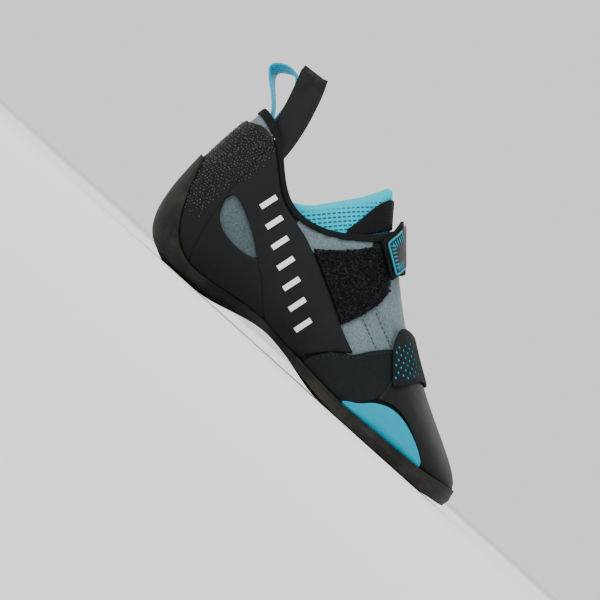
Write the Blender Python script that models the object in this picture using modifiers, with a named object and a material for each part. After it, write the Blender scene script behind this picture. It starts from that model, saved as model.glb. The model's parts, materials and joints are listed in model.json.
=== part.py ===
"""Right-foot climbing shoe: a hollow upper with rubber rands and two straps, on a sole that cups the heel."""

from collections import namedtuple

import bmesh
import bpy
import numpy as np
from mathutils import Matrix

COLLECTION = "climbing_shoe"

# Sizes are in millimetres: x from heel to toe, y from the outer to the inner side, z up from the floor
MM = 0.001
WELD = 1e-6
UP = np.array((0.0, 0.0, 1.0))

WALL = 2.0
GAP = 0.45
SEAM = 0.4
SOLE_SEAM = 0.0065
SEAT_EASE = 0.4
ARCH_EASE = 0.3
RAND_THICK = 1.4
PANEL_THICK = 1.1
STRAP_THICK = 2.0
STRAP_LIFT = GAP + RAND_THICK + GAP
TAB_LIFT = STRAP_LIFT + STRAP_THICK + GAP
TAB_THICK = 1.3

SOLE_GAP = 0.5
CUP_EASE = 1.8
SOLE_THICK = 4.0
SOLE_TOP = 3.5
CRISP_EDGE_OUT = 3.0
CRISP_EDGE_UP = 0.5
CRISP_FROM_X = 112.0
CRISP_TO_X = 150.0

ARCH_RISE = 10.0
ARCH_HEEL_X = 45.0
ARCH_BALL_X = 150.0
TOE_SPRING = 2.2
TOE_SPRING_FROM_X = 205.0
TOE_SPRING_TO_X = 234.0

INSOLE_LIFT = -0.5
INSOLE_THICK = 2.6
INSOLE_INSET = 3.2

BINDING_REACH = 0.955
BINDING_THICK = 0.9
TONGUE_THICK = 3.2
TONGUE_LIFT = -(WALL + GAP + BINDING_THICK + GAP)
TONGUE_ROOT = 0.80
TONGUE_BEND = 0.35

# One row for each rib of the form: its foot on the feather edge, its rim on the collar, and how far the rib
# swells out and up from the foot and out and down from the rim
Rib = namedtuple("Rib", "name foot_x foot_y foot_z out up rim_x rim_y rim_z rim_out rim_drop")
RIBS = (
    Rib("heel back", 21, 0, 7, 19, 3.5, 12, 0, 102, 9, 52),
    Rib("heel corner, outer", 24.5, -11, 7.5, 16, 4.5, 16, -12.5, 101, 9.5, 50),
    Rib("heel side, outer", 39, -16, 8, 16, 5, 30, -20.5, 95, 11, 46),
    Rib("ankle, outer", 62, -18, 11, 16, 5, 45.5, -24.5, 80.5, 9, 37),
    Rib("waist, outer", 90, -23, 14, 14, 5, 63, -27, 69.5, 10, 31),
    Rib("instep, outer", 118, -31, 10, 12, 5, 84, -26.5, 73, 13, 30),
    Rib("ball back, outer", 146, -40, 6.5, 6, 6, 101, -21, 85, 16, 32),
    Rib("ball, outer", 174, -41.5, 6, 5, 8, 110, -13, 95, 32, 42),
    Rib("toe side, outer", 206, -33, 6.5, 6, 12.5, 113, -6, 99, 48, 59),
    Rib("toe corner, outer", 227, -13, 7.5, 6, 16.5, 114, -1, 100, 62, 69),
    Rib("toe tip", 234.5, 17, 8, 6.5, 17.5, 114, 2.5, 100, 66, 71),
    Rib("toe corner, inner", 228.5, 37, 7.5, 7, 17, 114, 6, 100, 62, 69),
    Rib("big toe, inner", 205, 46, 6.5, 6, 15, 113, 11, 99, 48, 58),
    Rib("ball, inner", 170, 49.5, 6, 5, 10, 109, 17, 95, 32, 42),
    Rib("arch front, inner", 141, 33, 10.5, 8, 6, 101, 23.5, 85, 16, 32),
    Rib("arch, inner", 114, 15.5, 17, 16, 6, 84, 27.5, 74, 13, 30),
    Rib("waist, inner", 87, 13.5, 16, 18, 5, 63, 27, 71, 10, 32),
    Rib("ankle, inner", 61, 15.5, 12, 17, 5, 45.5, 24.5, 81, 9, 38),
    Rib("heel side, inner", 39, 16, 8, 16, 5, 30, 20.5, 95, 11, 46),
    Rib("heel corner, inner", 24.5, 11, 7.5, 16, 4.5, 16, 12.5, 101, 9.5, 50),
)
TURN = float(len(RIBS))

# The middle line of the bottom, from heel to toe
SpineRow = namedtuple("SpineRow", "x y")
SPINE = (
    SpineRow(31, 0),
    SpineRow(62, -1),
    SpineRow(88, -4.5),
    SpineRow(116, -7.5),
    SpineRow(143, -2.5),
    SpineRow(172, 2.5),
    SpineRow(205, 5),
    SpineRow(216, 7.5),
)
FOOT = slice(0, 3)
SWELL = slice(3, 5)
RIM = slice(5, 8)
RIM_SWELL = slice(8, 10)

# The top edge of the sole's rubber: how far up each rib it reaches and how proud of the upper it stands
SoleEdge = namedtuple("SoleEdge", "rib reach lift")
SOLE_EDGE = (
    SoleEdge(0.0, 0.575, 4.5),
    SoleEdge(0.65, 0.56, 4.4),
    SoleEdge(1.1, 0.315, 3.9),
    SoleEdge(1.5, 0.115, 3.3),
    SoleEdge(2.3, 0.04, 2.8),
    SoleEdge(4.5, 0.035, 2.6),
    SoleEdge(5.2, 0.045, 2.6),
    SoleEdge(6.3, 0.024, 2.6),
    SoleEdge(8.1, 0.024, 2.6),
    SoleEdge(8.9, 0.03, 2.7),
    SoleEdge(10.0, 0.03, 2.8),
)

# The tongue's top edge: how far it rises from the collar's rim, leaning back and in
TongueRow = namedtuple("TongueRow", "rib rise back inward")
TONGUE_ROWS = (
    TongueRow(3.7, 1.5, 0.2, 0.0),
    TongueRow(4.4, 11.0, 0.4, 0.06),
    TongueRow(5.0, 20.0, 0.5, 0.12),
    TongueRow(6.0, 26.0, 0.6, 0.15),
    TongueRow(7.0, 27.0, 0.62, 0.1),
    TongueRow(8.5, 26.0, 0.61, 0.05),
    TongueRow(10.0, 24.0, 0.6, 0.0),
)

# Panel edges on the outer side, as rib number and share of the rib's length; the inner side mirrors them
LEAF_LOWER = (
    (2.0, 0.5), (2.06, 0.43), (2.2, 0.388), (2.55, 0.363), (3.05, 0.375), (3.4, 0.405), (3.7, 0.45),
)
LEAF_UPPER = (
    (2.0, 0.5), (2.06, 0.545), (2.2, 0.566), (2.5, 0.578), (2.9, 0.575), (3.45, 0.537), (3.7, 0.45),
)
SLING_SEAM = ((3.7, 0.45), (3.9, 0.388), (4.0, 0.263), (4.05, 0.04))
SLING_TOP = ((2.0, 0.945), (3.0, 0.945), (4.0, 0.945))
SLING_FRONT = ((4.5, 0.913), (4.85, 0.838), (5.45, 0.638), (6.0, 0.425), (6.4, 0.312))
SHORT_SEAM = ((5.25, 0.1), (5.45, 0.15), (5.8, 0.238), (6.4, 0.312))
PANEL_REAR = ((5.3, 0.1), (5.5, 0.15), (5.85, 0.234), (6.42, 0.305))
PANEL_TOP = ((6.42, 0.305), (6.9, 0.385), (7.4, 0.45), (7.8, 0.49))
PANEL_FRONT = ((7.05, 0.165), (7.42, 0.31), (7.8, 0.49))
SIDE_REAR = ((6.3, 0.04), (6.6, 0.08), (7.05, 0.165))
SIDE_FRONT = ((7.05, 0.165), (7.5, 0.2), (7.8, 0.175), (8.0, 0.105), (8.1, 0.045))
TOE_TOP = ((7.72, 0.44), (8.5, 0.45), (10.0, 0.455))
HEEL_TOP = ((0.0, 0.875), (0.85, 0.888), (1.5, 0.94), (2.0, 0.945))
PATCH_REAR = ((6.05, 0.43), (5.5, 0.638), (4.95, 0.828))
PATCH_TOP = ((4.95, 0.828), (5.6, 0.88), (6.6, 0.935))
PATCH_LOWER = ((6.05, 0.43), (6.7, 0.57), (7.4, 0.725))
PATCH_FRONT = ((7.4, 0.725), (7.0, 0.84), (6.6, 0.935))
UPPER_STRAP_FRONT = (
    (7.3, 0.765), (8.2, 0.83), (10.0, 0.85), (12.0, 0.82), (13.0, 0.72), (13.9, 0.48),
)
UPPER_STRAP_REAR = (
    (6.65, 0.955), (7.2, 1.005), (7.9, 1.05), (8.8, 1.07),
    (11.2, 1.05), (12.4, 0.99), (13.6, 0.91), (14.75, 0.7),
)
TAB_FRONT = ((7.34, 0.78), (8.0, 0.828), (8.7, 0.855))
TAB_REAR = ((6.74, 0.945), (7.3, 1.0), (7.9, 1.038), (8.7, 1.055))
LOWER_STRAP_FRONT = (
    (7.35, 0.26), (8.2, 0.37), (9.0, 0.42), (10.0, 0.425), (11.2, 0.4), (12.0, 0.33), (12.7, 0.22),
)
LOWER_STRAP_REAR = (
    (7.4, 0.46), (7.75, 0.57), (8.5, 0.613), (10.0, 0.615), (11.5, 0.6), (12.4, 0.53), (13.0, 0.41),
)
TONGUE_TAB_SIDE_RIB = 5.5
TONGUE_TAB_FOOT = 0.1
TONGUE_TAB_SIDE_TOP = 0.3
TONGUE_TAB_TOP = 0.78
TONGUE_TAB_SHOULDER = 0.13

# Pull loops of tape: the rib each leg stands at and how deep inside the rim, where the head lies from there,
# which way and how widely the tape goes over it, and how far each leg stands straight
PullLoop = namedtuple(
    "PullLoop", "name rib_from rib_to depth width rise lean_x lean_y over_deg over leg_rise thick finish"
)
PULL_LOOPS = (
    PullLoop("pull_loop_side", 1.98, 1.98, 7.9, 17.0, 41.0, -10.5, 0.0, 70.0, 2.6, 12.0, 1.4, "black tape"),
    PullLoop("pull_loop_heel", 20.0, 18.7, 10.5, 15.0, 29.0, -18.6, 3.0, -25.0, 23.0, 12.0, 1.2, "blue tape"),
)
LOOP_ROOT_SHARE = 0.9
LOOP_LEG_GAP = 2.4

# Facets: how many go round and up each piece, crowded towards heel and toe and towards the feather edge
UPPER_AROUND, UPPER_ROWS = 74, 10
SOLE_AROUND, INSOLE_AROUND, BINDING_AROUND = 60, 34, 40
SOLE_BOTTOM_ROWS = (0.94, 0.55, 0.18)
SOLE_SIDE_ROWS = (0.0, 0.08, 0.17, 0.28, 0.43, 0.67, 1.0)
INSOLE_ROWS = (0.94, 0.4)
TONGUE_FACETS = (20, 4)
TONGUE_TAB_FACETS = (16, 3)
LOOP_FACETS = 24
END_CROWD = 0.2
ROW_CROWD = 1.35

FINISHES = {
    "black rubber": (0.028, 0.03, 0.032, 0.5),
    "sole rubber": (0.036, 0.034, 0.031, 0.6),
    "grey suede": (0.19, 0.26, 0.27, 0.85),
    "black suede": (0.02, 0.021, 0.023, 0.8),
    "blue suede": (0.06, 0.44, 0.53, 0.75),
    "blue mesh": (0.14, 0.71, 0.78, 0.8),
    "black pile": (0.008, 0.008, 0.01, 0.95),
    "black web": (0.015, 0.016, 0.018, 0.7),
    "black tape": (0.014, 0.015, 0.017, 0.7),
    "blue tape": (0.09, 0.56, 0.68, 0.7),
    "board": (0.3, 0.28, 0.24, 0.9),
    "moulded rubber": (0.02, 0.021, 0.022, 0.55),
}


def smooth_rows(at, keys, values):
    """Value at a key on a curve through the rows that never overshoots between them."""
    keys = np.asarray(keys, float)
    values = np.asarray(values, float)
    steps = np.diff(keys)
    slopes = np.diff(values) / steps
    ends = np.zeros_like(values)
    same_way = slopes[:-1] * slopes[1:] > 0
    ends[1:-1][same_way] = 2 * slopes[:-1][same_way] * slopes[1:][same_way] / (
        slopes[:-1][same_way] + slopes[1:][same_way]
    )
    ends[0], ends[-1] = slopes[0], slopes[-1]
    i = int(np.clip(np.searchsorted(keys, at) - 1, 0, len(steps) - 1))
    t = np.clip((at - keys[i]) / steps[i], 0.0, 1.0)
    rise = values[i + 1] - values[i]
    first, last = ends[i] * steps[i], ends[i + 1] * steps[i]
    return values[i] + t * (first + t * (3 * rise - 2 * first - last + t * (first + last - 2 * rise)))


def around(s):
    """Rib number at a share of the way round, with the steps shortest at the heel and the toe."""
    return TURN * (s - END_CROWD * np.sin(4 * np.pi * s) / (4 * np.pi))


def half_turn(u):
    """The same place counted from the heel back along either side."""
    u = u % TURN
    return min(u, TURN - u)


class Form:
    """The shoe's outer form: ribs from the feather edge up to the rim, and a bottom in to the spine."""

    SAMPLES = np.linspace(0.0, 1.0, 41)
    STEP = 0.01

    def __init__(self, ribs):
        self.rows = np.array([rib[1:] for rib in ribs], float)
        count = len(ribs)
        bend = 4 * np.eye(count) + np.roll(np.eye(count), 1, 0) + np.roll(np.eye(count), -1, 0)
        turns = np.roll(self.rows, -1, 0) - 2 * self.rows + np.roll(self.rows, 1, 0)
        self.bends = np.linalg.solve(bend, 6 * turns)

    def row(self, u):
        """All columns of the rib table at a rib number between its rows, on a closed cubic spline."""
        u = u % TURN
        i = int(u) % len(self.rows)
        j = (i + 1) % len(self.rows)
        s = u - int(u)
        a = 1.0 - s
        curve = (a**3 - a) * self.bends[i] + (s**3 - s) * self.bends[j]
        return a * self.rows[i] + s * self.rows[j] + curve / 6.0

    def outward(self, u, columns):
        """Level direction square to the foot line or the rim line, away from the shoe."""
        along = (self.row(u + self.STEP) - self.row(u - self.STEP))[columns]
        along = along[:2] / np.linalg.norm(along[:2])
        return np.array((along[1], -along[0], 0.0))

    def handles(self, u):
        row = self.row(u)
        out, up = row[SWELL]
        rim_out, rim_drop = row[RIM_SWELL]
        return (
            row[FOOT],
            row[FOOT] + out * self.outward(u, FOOT) + up * UP,
            row[RIM] + rim_out * self.outward(u, RIM) - rim_drop * UP,
            row[RIM],
        )

    def on_rib(self, u, share):
        """Point at a share of the rib's length above the feather edge, carried straight on past the rim."""
        if share > 1.0:
            return self.on_rib(u, 1.0) + (share - 1.0) * Edge.RIB_LENGTH * self.rim_direction(u)
        handles = self.handles(u)
        curve = bezier(*handles, self.SAMPLES[:, None])
        run = np.concatenate(((0.0,), np.cumsum(np.linalg.norm(np.diff(curve, axis=0), axis=1))))
        return bezier(*handles, np.interp(share, run / run[-1], self.SAMPLES))

    def spine(self, u):
        """Middle of the bottom between this foot and the one across, raised at the arch and the toe."""
        here, across = self.row(u)[FOOT], self.row(TURN - u)[FOOT]
        x = np.clip((here[0] + across[0]) / 2, SPINE[0].x, SPINE[-1].x)
        y = smooth_rows(x, [row.x for row in SPINE], [row.y for row in SPINE])
        return np.array((x, y, SOLE_TOP + bottom_rise(x)))

    def on_bottom(self, u, share):
        """Point at a share of the way from the feather edge in to the spine."""
        foot, spine = self.row(u)[FOOT], self.spine(u)
        point = foot + (spine - foot) * share
        point[2] = spine[2] + (foot[2] - spine[2]) * (1.0 - share) ** 2
        return point

    def point(self, u, v):
        return self.on_rib(u, v) if v >= 0 else self.on_bottom(u, -v)

    def normal(self, u, v):
        v = min(v, 1.0)
        low, high = max(v - self.STEP, -1.0), min(v + self.STEP, 1.0)
        around = self.point(u + self.STEP, v) - self.point(u - self.STEP, v)
        upward = self.point(u, high) - self.point(u, low)
        square = np.cross(around, upward)
        return square / np.linalg.norm(square)

    def lifted(self, u, v, lift):
        return self.point(u, v) + lift * self.normal(u, v)

    def rim_direction(self, u):
        """Direction in which the rib leaves the shoe at its rim."""
        way = self.on_rib(u, 1.0) - self.on_rib(u, 1.0 - self.STEP)
        return way / np.linalg.norm(way)


def bottom_rise(x):
    """Height of the spine over its lowest place: the arch between heel and ball, and the toe's spring."""
    arch = np.clip((x - ARCH_HEEL_X) / (ARCH_BALL_X - ARCH_HEEL_X), 0.0, 1.0)
    toe = np.clip((x - TOE_SPRING_FROM_X) / (TOE_SPRING_TO_X - TOE_SPRING_FROM_X), 0.0, 1.0)
    return ARCH_RISE * np.sin(np.pi * arch) ** 2 + TOE_SPRING * toe**2


FORM = Form(RIBS)


def sole_reach(u):
    return smooth_rows(half_turn(u), [row.rib for row in SOLE_EDGE], [row.reach for row in SOLE_EDGE])


def sole_lift(u):
    return smooth_rows(half_turn(u), [row.rib for row in SOLE_EDGE], [row.lift for row in SOLE_EDGE])


class Edge:
    """A panel's edge: a smooth run through points given as rib number and share of the rib."""

    RIB_SPACING = 25.0
    RIB_LENGTH = 100.0

    def __init__(self, points):
        self.points = np.array(points, float)
        steps = np.diff(self.points, axis=0) * (self.RIB_SPACING, self.RIB_LENGTH)
        self.run = np.concatenate(((0.0,), np.cumsum(np.linalg.norm(steps, axis=1))))
        self.length = self.run[-1]

    def at(self, share):
        return np.array([smooth_rows(share * self.length, self.run, column) for column in self.points.T])


def mirrored(points):
    """The same edge on the inner side, run the other way so that rib numbers still rise."""
    return tuple((TURN - u, v) for u, v in reversed(points))


def sole_run(start, end, count=14):
    """Edge points just above the sole's rubber, as far from it where it climbs as where it runs level."""
    points = []
    for u in np.linspace(start, end, count):
        climb = (sole_reach(u + Form.STEP) - sole_reach(u - Form.STEP)) / (2 * Form.STEP)
        slant = np.hypot(1.0, climb * Edge.RIB_LENGTH / Edge.RIB_SPACING)
        points.append((u, sole_reach(u) + SOLE_SEAM * slant))
    return tuple(points)


def new_object(name, bm, finish, thick=0.0, offset=1.0):
    """Named object in the shoe's collection, solidified when a thickness is given."""
    bmesh.ops.transform(bm, matrix=scale_matrix(MM), verts=bm.verts)
    bmesh.ops.remove_doubles(bm, verts=bm.verts, dist=WELD)
    if not thick:
        bmesh.ops.recalc_face_normals(bm, faces=bm.faces)
    mesh = bpy.data.meshes.new(name)
    bm.to_mesh(mesh)
    bm.free()
    made = bpy.data.objects.new(name, mesh)
    mesh.materials.append(material(finish))
    bpy.data.collections[COLLECTION].objects.link(made)
    if thick:
        shell = made.modifiers.new("wall", "SOLIDIFY")
        shell.thickness = thick * MM
        shell.offset = offset
        shell.use_even_offset = True
        shell.use_quality_normals = True
    return made


def scale_matrix(factor):
    return Matrix.Diagonal((factor, factor, factor, 1.0))


def material(finish):
    """Plain material of one of the shoe's finishes."""
    if finish in bpy.data.materials:
        return bpy.data.materials[finish]
    made = bpy.data.materials.new(finish)
    made.use_nodes = True
    shader = made.node_tree.nodes["Principled BSDF"]
    red, green, blue, rough = FINISHES[finish]
    shader.inputs["Base Color"].default_value = (red, green, blue, 1.0)
    shader.inputs["Roughness"].default_value = rough
    return made


def bent_grid(columns, rows, place):
    """A flat grid with its points moved to place(s, r): s along the columns and r along the rows, 0 to 1."""
    bm = bmesh.new()
    bmesh.ops.create_grid(bm, x_segments=columns, y_segments=rows, size=0.5)
    for vert in bm.verts:
        s, r = vert.co.x + 0.5, vert.co.y + 0.5
        vert.co = place(s, r)
    return bm


def closed_ring(name, count, rings, finish, caps):
    """A solid from rings of points: a bent grid welded to itself, its two end rings capped across."""

    def place(s, r):
        return rings[round(r * (len(rings) - 1))](around(s))

    bm = bent_grid(count, len(rings) - 1, place)
    bmesh.ops.remove_doubles(bm, verts=bm.verts, dist=WELD / MM)
    if caps:
        for ring in (rings[0], rings[-1]):
            cap_across(bm, ring, count)
    return new_object(name, bm, finish)


def cap_across(bm, ring, count):
    """Closes an end ring with a ladder of faces from the outer to the inner side."""
    spots = [np.array(ring(around(j / count))) for j in range(count)]
    verts = list(bm.verts)
    places = np.array([vert.co[:] for vert in verts])
    loop = [verts[int(np.argmin(np.linalg.norm(places - spot, axis=1)))] for spot in spots]
    for j in range(count // 2):
        corners = (loop[j], loop[j + 1], loop[-j - 1], loop[-j])
        face = list(dict.fromkeys(corners))
        bm.faces.new(face)


def patch(name, bottom, top, left, right, columns, rows, lift, thick, finish, crowd=1.0, inset=SEAM / 2):
    """A panel on the upper between four edges, kept back from each by the inset, thickened outward."""
    low, high, rear, front = Edge(bottom), Edge(top), Edge(left), Edge(right)
    corners = [Edge((bottom[0], bottom[-1])), Edge((top[0], top[-1]))]
    cut_s = inset / max(low.length, high.length)
    cut_r = inset / max(rear.length, front.length)

    def place(s, r):
        s = cut_s + s * (1.0 - 2.0 * cut_s)
        r = cut_r + r**crowd * (1.0 - 2.0 * cut_r)
        across = (1.0 - r) * low.at(s) + r * high.at(s)
        upward = (1.0 - s) * rear.at(r) + s * front.at(r)
        flat = (1.0 - r) * ((1.0 - s) * corners[0].points[0] + s * corners[0].points[1])
        flat = flat + r * ((1.0 - s) * corners[1].points[0] + s * corners[1].points[1])
        u, v = across + upward - flat
        return FORM.lifted(u, v, lift)

    return new_object(name, bent_grid(columns, rows, place), finish, thick)


def build_upper():
    def place(s, r):
        return FORM.on_rib(around(s), r**ROW_CROWD)

    return new_object("upper", bent_grid(UPPER_AROUND, UPPER_ROWS, place), "grey suede", WALL, -1.0)


def sole_outer_side(u, share):
    """Outer face of the sole above the feather edge, crisp along the forefoot and round at the heel."""
    lift = SOLE_GAP + SOLE_THICK + (sole_lift(u) - SOLE_GAP - SOLE_THICK) * min(1.0, 2.0 * share)
    point = FORM.lifted(u, share * sole_reach(u), lift)
    if share == 0.0:
        foot = FORM.row(u)[FOOT]
        corner = foot + CRISP_EDGE_OUT * FORM.outward(u, FOOT)
        corner[2] = CRISP_EDGE_UP + bottom_rise(foot[0])
        crisp = np.clip((foot[0] - CRISP_FROM_X) / (CRISP_TO_X - CRISP_FROM_X), 0.0, 1.0)
        point = point + (corner - point) * crisp
    return on_floor(point)


def sole_inner_side(u, share):
    """Inner face of the sole, easing away from the upper where the rubber climbs the heel."""
    return FORM.lifted(u, share * sole_reach(u), SOLE_GAP + CUP_EASE * np.sqrt(sole_reach(u)))


def sole_outer_bottom(u, share):
    return on_floor(FORM.lifted(u, -share, SOLE_GAP + SOLE_THICK))


def on_floor(point):
    """The sole wears flat where its round would dip below the floor."""
    return np.array((point[0], point[1], max(point[2], 0.0)))


def build_outsole():
    rings = [lambda u, share=share: sole_outer_bottom(u, share) for share in SOLE_BOTTOM_ROWS]
    rings += [lambda u, share=share: sole_outer_side(u, share) for share in SOLE_SIDE_ROWS]
    rings += [lambda u, share=share: sole_inner_side(u, share) for share in reversed(SOLE_SIDE_ROWS)]
    rings += [lambda u, share=share: FORM.lifted(u, -share, SOLE_GAP) for share in reversed(SOLE_BOTTOM_ROWS)]
    return closed_ring("outsole", SOLE_AROUND, rings, "sole rubber", caps=True)


def build_insole():
    def at_edge(u, lift):
        inset = INSOLE_INSET / np.linalg.norm(FORM.spine(u) - FORM.row(u)[FOOT])
        return FORM.lifted(u, -inset, lift)

    top = INSOLE_LIFT - INSOLE_THICK
    rings = [lambda u, share=share: FORM.lifted(u, -share, INSOLE_LIFT) for share in INSOLE_ROWS]
    rings += [lambda u: at_edge(u, INSOLE_LIFT), lambda u: at_edge(u, top)]
    rings += [lambda u, share=share: FORM.lifted(u, -share, top) for share in reversed(INSOLE_ROWS)]
    return closed_ring("insole", INSOLE_AROUND, rings, "board", caps=True)


def build_collar_binding():
    """Tape folded over the collar's rim, with a leg down each face of the upper."""
    inner = -WALL - GAP

    def over_rim(u, lift, above):
        return FORM.lifted(u, 1.0, lift) + above * FORM.rim_direction(u)

    rings = [
        lambda u: FORM.lifted(u, BINDING_REACH, GAP),
        lambda u: FORM.lifted(u, BINDING_REACH, GAP + BINDING_THICK),
        lambda u: over_rim(u, GAP + BINDING_THICK, GAP),
        lambda u: over_rim(u, -WALL / 2, GAP + BINDING_THICK),
        lambda u: over_rim(u, inner - BINDING_THICK, GAP),
        lambda u: FORM.lifted(u, BINDING_REACH, inner - BINDING_THICK),
        lambda u: FORM.lifted(u, BINDING_REACH, inner),
        lambda u: over_rim(u, inner, GAP),
        lambda u: over_rim(u, GAP, GAP),
    ]
    return closed_ring("collar_binding", BINDING_AROUND, rings + rings[:1], "black tape", caps=False)


def tongue_point(u, r):
    """Point on the tongue's outer face, r from its root inside the shoe to its top edge."""
    rows = [[getattr(row, column) for row in TONGUE_ROWS] for column in TongueRow._fields]
    rise, back, inward = (smooth_rows(half_turn(u), rows[0], column) for column in rows[1:])
    root = FORM.lifted(u, TONGUE_ROOT, TONGUE_LIFT)
    rim = FORM.lifted(u, 1.0, TONGUE_LIFT)
    side = 1.0 if u % TURN > TURN / 2 else -1.0
    lean = np.array((-back, -side * inward, np.sqrt(1.0 - back**2 - inward**2)))
    top = rim + rise * lean
    bend = rim + TONGUE_BEND * rise * FORM.rim_direction(u)
    if r < 0.5:
        middle = FORM.lifted(u, (1.0 + TONGUE_ROOT) / 2, TONGUE_LIFT)
        t = 2.0 * r
        return (1 - t) ** 2 * root + 2 * t * (1 - t) * (2 * middle - (root + rim) / 2) + t * t * rim
    t = 2.0 * r - 1.0
    return (1 - t) ** 2 * rim + 2 * t * (1 - t) * bend + t * t * top


def build_tongue():
    start, end = TONGUE_ROWS[0].rib, TURN - TONGUE_ROWS[0].rib

    def place(s, r):
        return tongue_point(start + s * (end - start), r)

    return new_object("tongue", bent_grid(*TONGUE_FACETS, place), "blue mesh", TONGUE_THICK, -1.0)


def build_tongue_tab():
    """Plain piece on the front of the tongue, over its foot."""
    start, end = TONGUE_TAB_SIDE_RIB, TURN - TONGUE_TAB_SIDE_RIB

    def place(s, r):
        s = (1.0 - np.cos(np.pi * s)) / 2
        u = start + s * (end - start)
        shoulder = np.sin(np.pi / 2 * min(1.0, s / TONGUE_TAB_SHOULDER, (1.0 - s) / TONGUE_TAB_SHOULDER))
        top = TONGUE_TAB_SIDE_TOP + (TONGUE_TAB_TOP - TONGUE_TAB_SIDE_TOP) * shoulder
        share = 0.5 + 0.5 * (TONGUE_TAB_FOOT + r * (top - TONGUE_TAB_FOOT))
        sideways = tongue_point(u + Form.STEP, share) - tongue_point(u - Form.STEP, share)
        upward = tongue_point(u, share + Form.STEP) - tongue_point(u, share - Form.STEP)
        square = np.cross(sideways, upward)
        return tongue_point(u, share) + GAP * square / np.linalg.norm(square)

    return new_object("tongue_tab", bent_grid(*TONGUE_TAB_FACETS, place), "black web", PANEL_THICK)


def bezier(a, b, c, d, t):
    """Point at a share of a cubic curve between a and d, drawn towards b and c."""
    rest = 1.0 - t
    return rest**3 * a + 3 * rest * rest * t * b + 3 * rest * t * t * c + t**3 * d


def build_pull_loop(loop):
    """Tape that leaves the shoe inside the rim, goes over a round head and comes back down beside itself."""
    legs = ((loop.rib_from, LOOP_LEG_GAP / 2 - loop.depth), (loop.rib_to, -LOOP_LEG_GAP / 2 - loop.depth))
    roots = [FORM.lifted(rib, LOOP_ROOT_SHARE, lift) for rib, lift in legs]
    rims = [FORM.lifted(rib, 1.0, lift) for rib, lift in legs]
    bends = [rim + loop.leg_rise * FORM.rim_direction(rib) for rim, (rib, _) in zip(rims, legs)]
    head = (rims[0] + rims[1]) / 2 + np.array((loop.lean_x, loop.lean_y, loop.rise))
    stem = (head - roots[0]) / np.linalg.norm(head - roots[0])
    way = np.array((np.cos(np.radians(loop.over_deg)), np.sin(np.radians(loop.over_deg)), 0.0))
    over = loop.over * (way - stem * way.dot(stem))
    edges = [np.cross(FORM.outward(rib, RIM), UP) for rib, _ in legs]
    head_edge = np.cross(UP, way)

    def middle(s):
        if s < 0.5:
            return bezier(roots[0], bends[0], head - over, head, 2 * s)
        return bezier(head, head + over, bends[1], roots[1], 2 * s - 1)

    def place(s, r):
        along = middle(min(1.0, s + Form.STEP)) - middle(max(0.0, s - Form.STEP))
        along = along / np.linalg.norm(along)
        near_head = 1.0 - abs(2.0 * s - 1.0)
        edge = near_head * head_edge + (1.0 - near_head) * edges[s > 0.5]
        edge = edge - along * edge.dot(along)
        return middle(s) + loop.width * (r - 0.5) * edge / np.linalg.norm(edge)

    return new_object(loop.name, bent_grid(LOOP_FACETS, 1, place), loop.finish, loop.thick, 0.0)


def build_side(side, flip):
    """Rands and panels of one side of the shoe, the inner side being the outer side mirrored."""

    def lay(name, bottom, top, left, right, columns, rows, thick, finish, crowd=1.0):
        if flip:
            bottom, top = mirrored(bottom), mirrored(top)
            left, right = tuple((TURN - u, v) for u, v in right), tuple((TURN - u, v) for u, v in left)
        lift = GAP + (ARCH_EASE if flip else 0.0)
        patch(f"{name}_{side}", bottom, top, left, right, columns, rows, lift, thick, finish, crowd)

    heel_foot = sole_run(2.0, 4.05)
    lay(
        "heel_side_rand", heel_foot, LEAF_LOWER, (heel_foot[0], LEAF_LOWER[0]),
        (heel_foot[-1],) + tuple(reversed(SLING_SEAM[:-1])),
        columns=9, rows=5, thick=RAND_THICK, finish="black rubber", crowd=ROW_CROWD,
    )
    sling_foot = sole_run(4.05, 5.2, 5)
    lay(
        "sling_band", LEAF_UPPER + SLING_SEAM[1:-1] + (heel_foot[-1],), SLING_TOP + SLING_FRONT,
        (LEAF_UPPER[0], SLING_TOP[0]), sling_foot + SHORT_SEAM,
        columns=14, rows=6, thick=RAND_THICK, finish="black rubber",
    )
    panel_foot = sole_run(5.26, 6.25, 5)
    lay(
        "forefoot_panel", panel_foot + SIDE_REAR, PANEL_TOP, panel_foot[:1] + PANEL_REAR, PANEL_FRONT,
        columns=9, rows=5, thick=PANEL_THICK, finish="black suede",
    )
    side_foot = sole_run(6.32, 8.1)
    lay(
        "side_panel", side_foot, SIDE_REAR + SIDE_FRONT[1:], (side_foot[0], SIDE_REAR[0]),
        (side_foot[-1], SIDE_FRONT[-1]), columns=12, rows=3, thick=PANEL_THICK, finish="blue suede",
    )


def build_rands():
    heel_foot = sole_run(-2.0, 2.0, 25)
    heel_top = tuple((-u, v) for u, v in reversed(HEEL_TOP[1:])) + HEEL_TOP
    patch(
        "heel_rand", heel_foot, heel_top, (heel_foot[0], heel_top[0]), (heel_foot[-1], heel_top[-1]),
        columns=16, rows=7, lift=GAP + SEAT_EASE, thick=RAND_THICK, finish="black rubber", crowd=ROW_CROWD,
    )
    toe_foot = SIDE_FRONT + sole_run(8.2, 11.8, 22) + mirrored(SIDE_FRONT)
    toe_top = TOE_TOP + mirrored(TOE_TOP[:-1])
    toe_left = PANEL_FRONT[:-1] + toe_top[:1]
    toe_right = tuple((TURN - u, v) for u, v in toe_left)
    patch(
        "toe_rand", toe_foot, toe_top, toe_left, toe_right,
        columns=20, rows=5, lift=GAP, thick=RAND_THICK, finish="black rubber", crowd=ROW_CROWD,
    )


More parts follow.
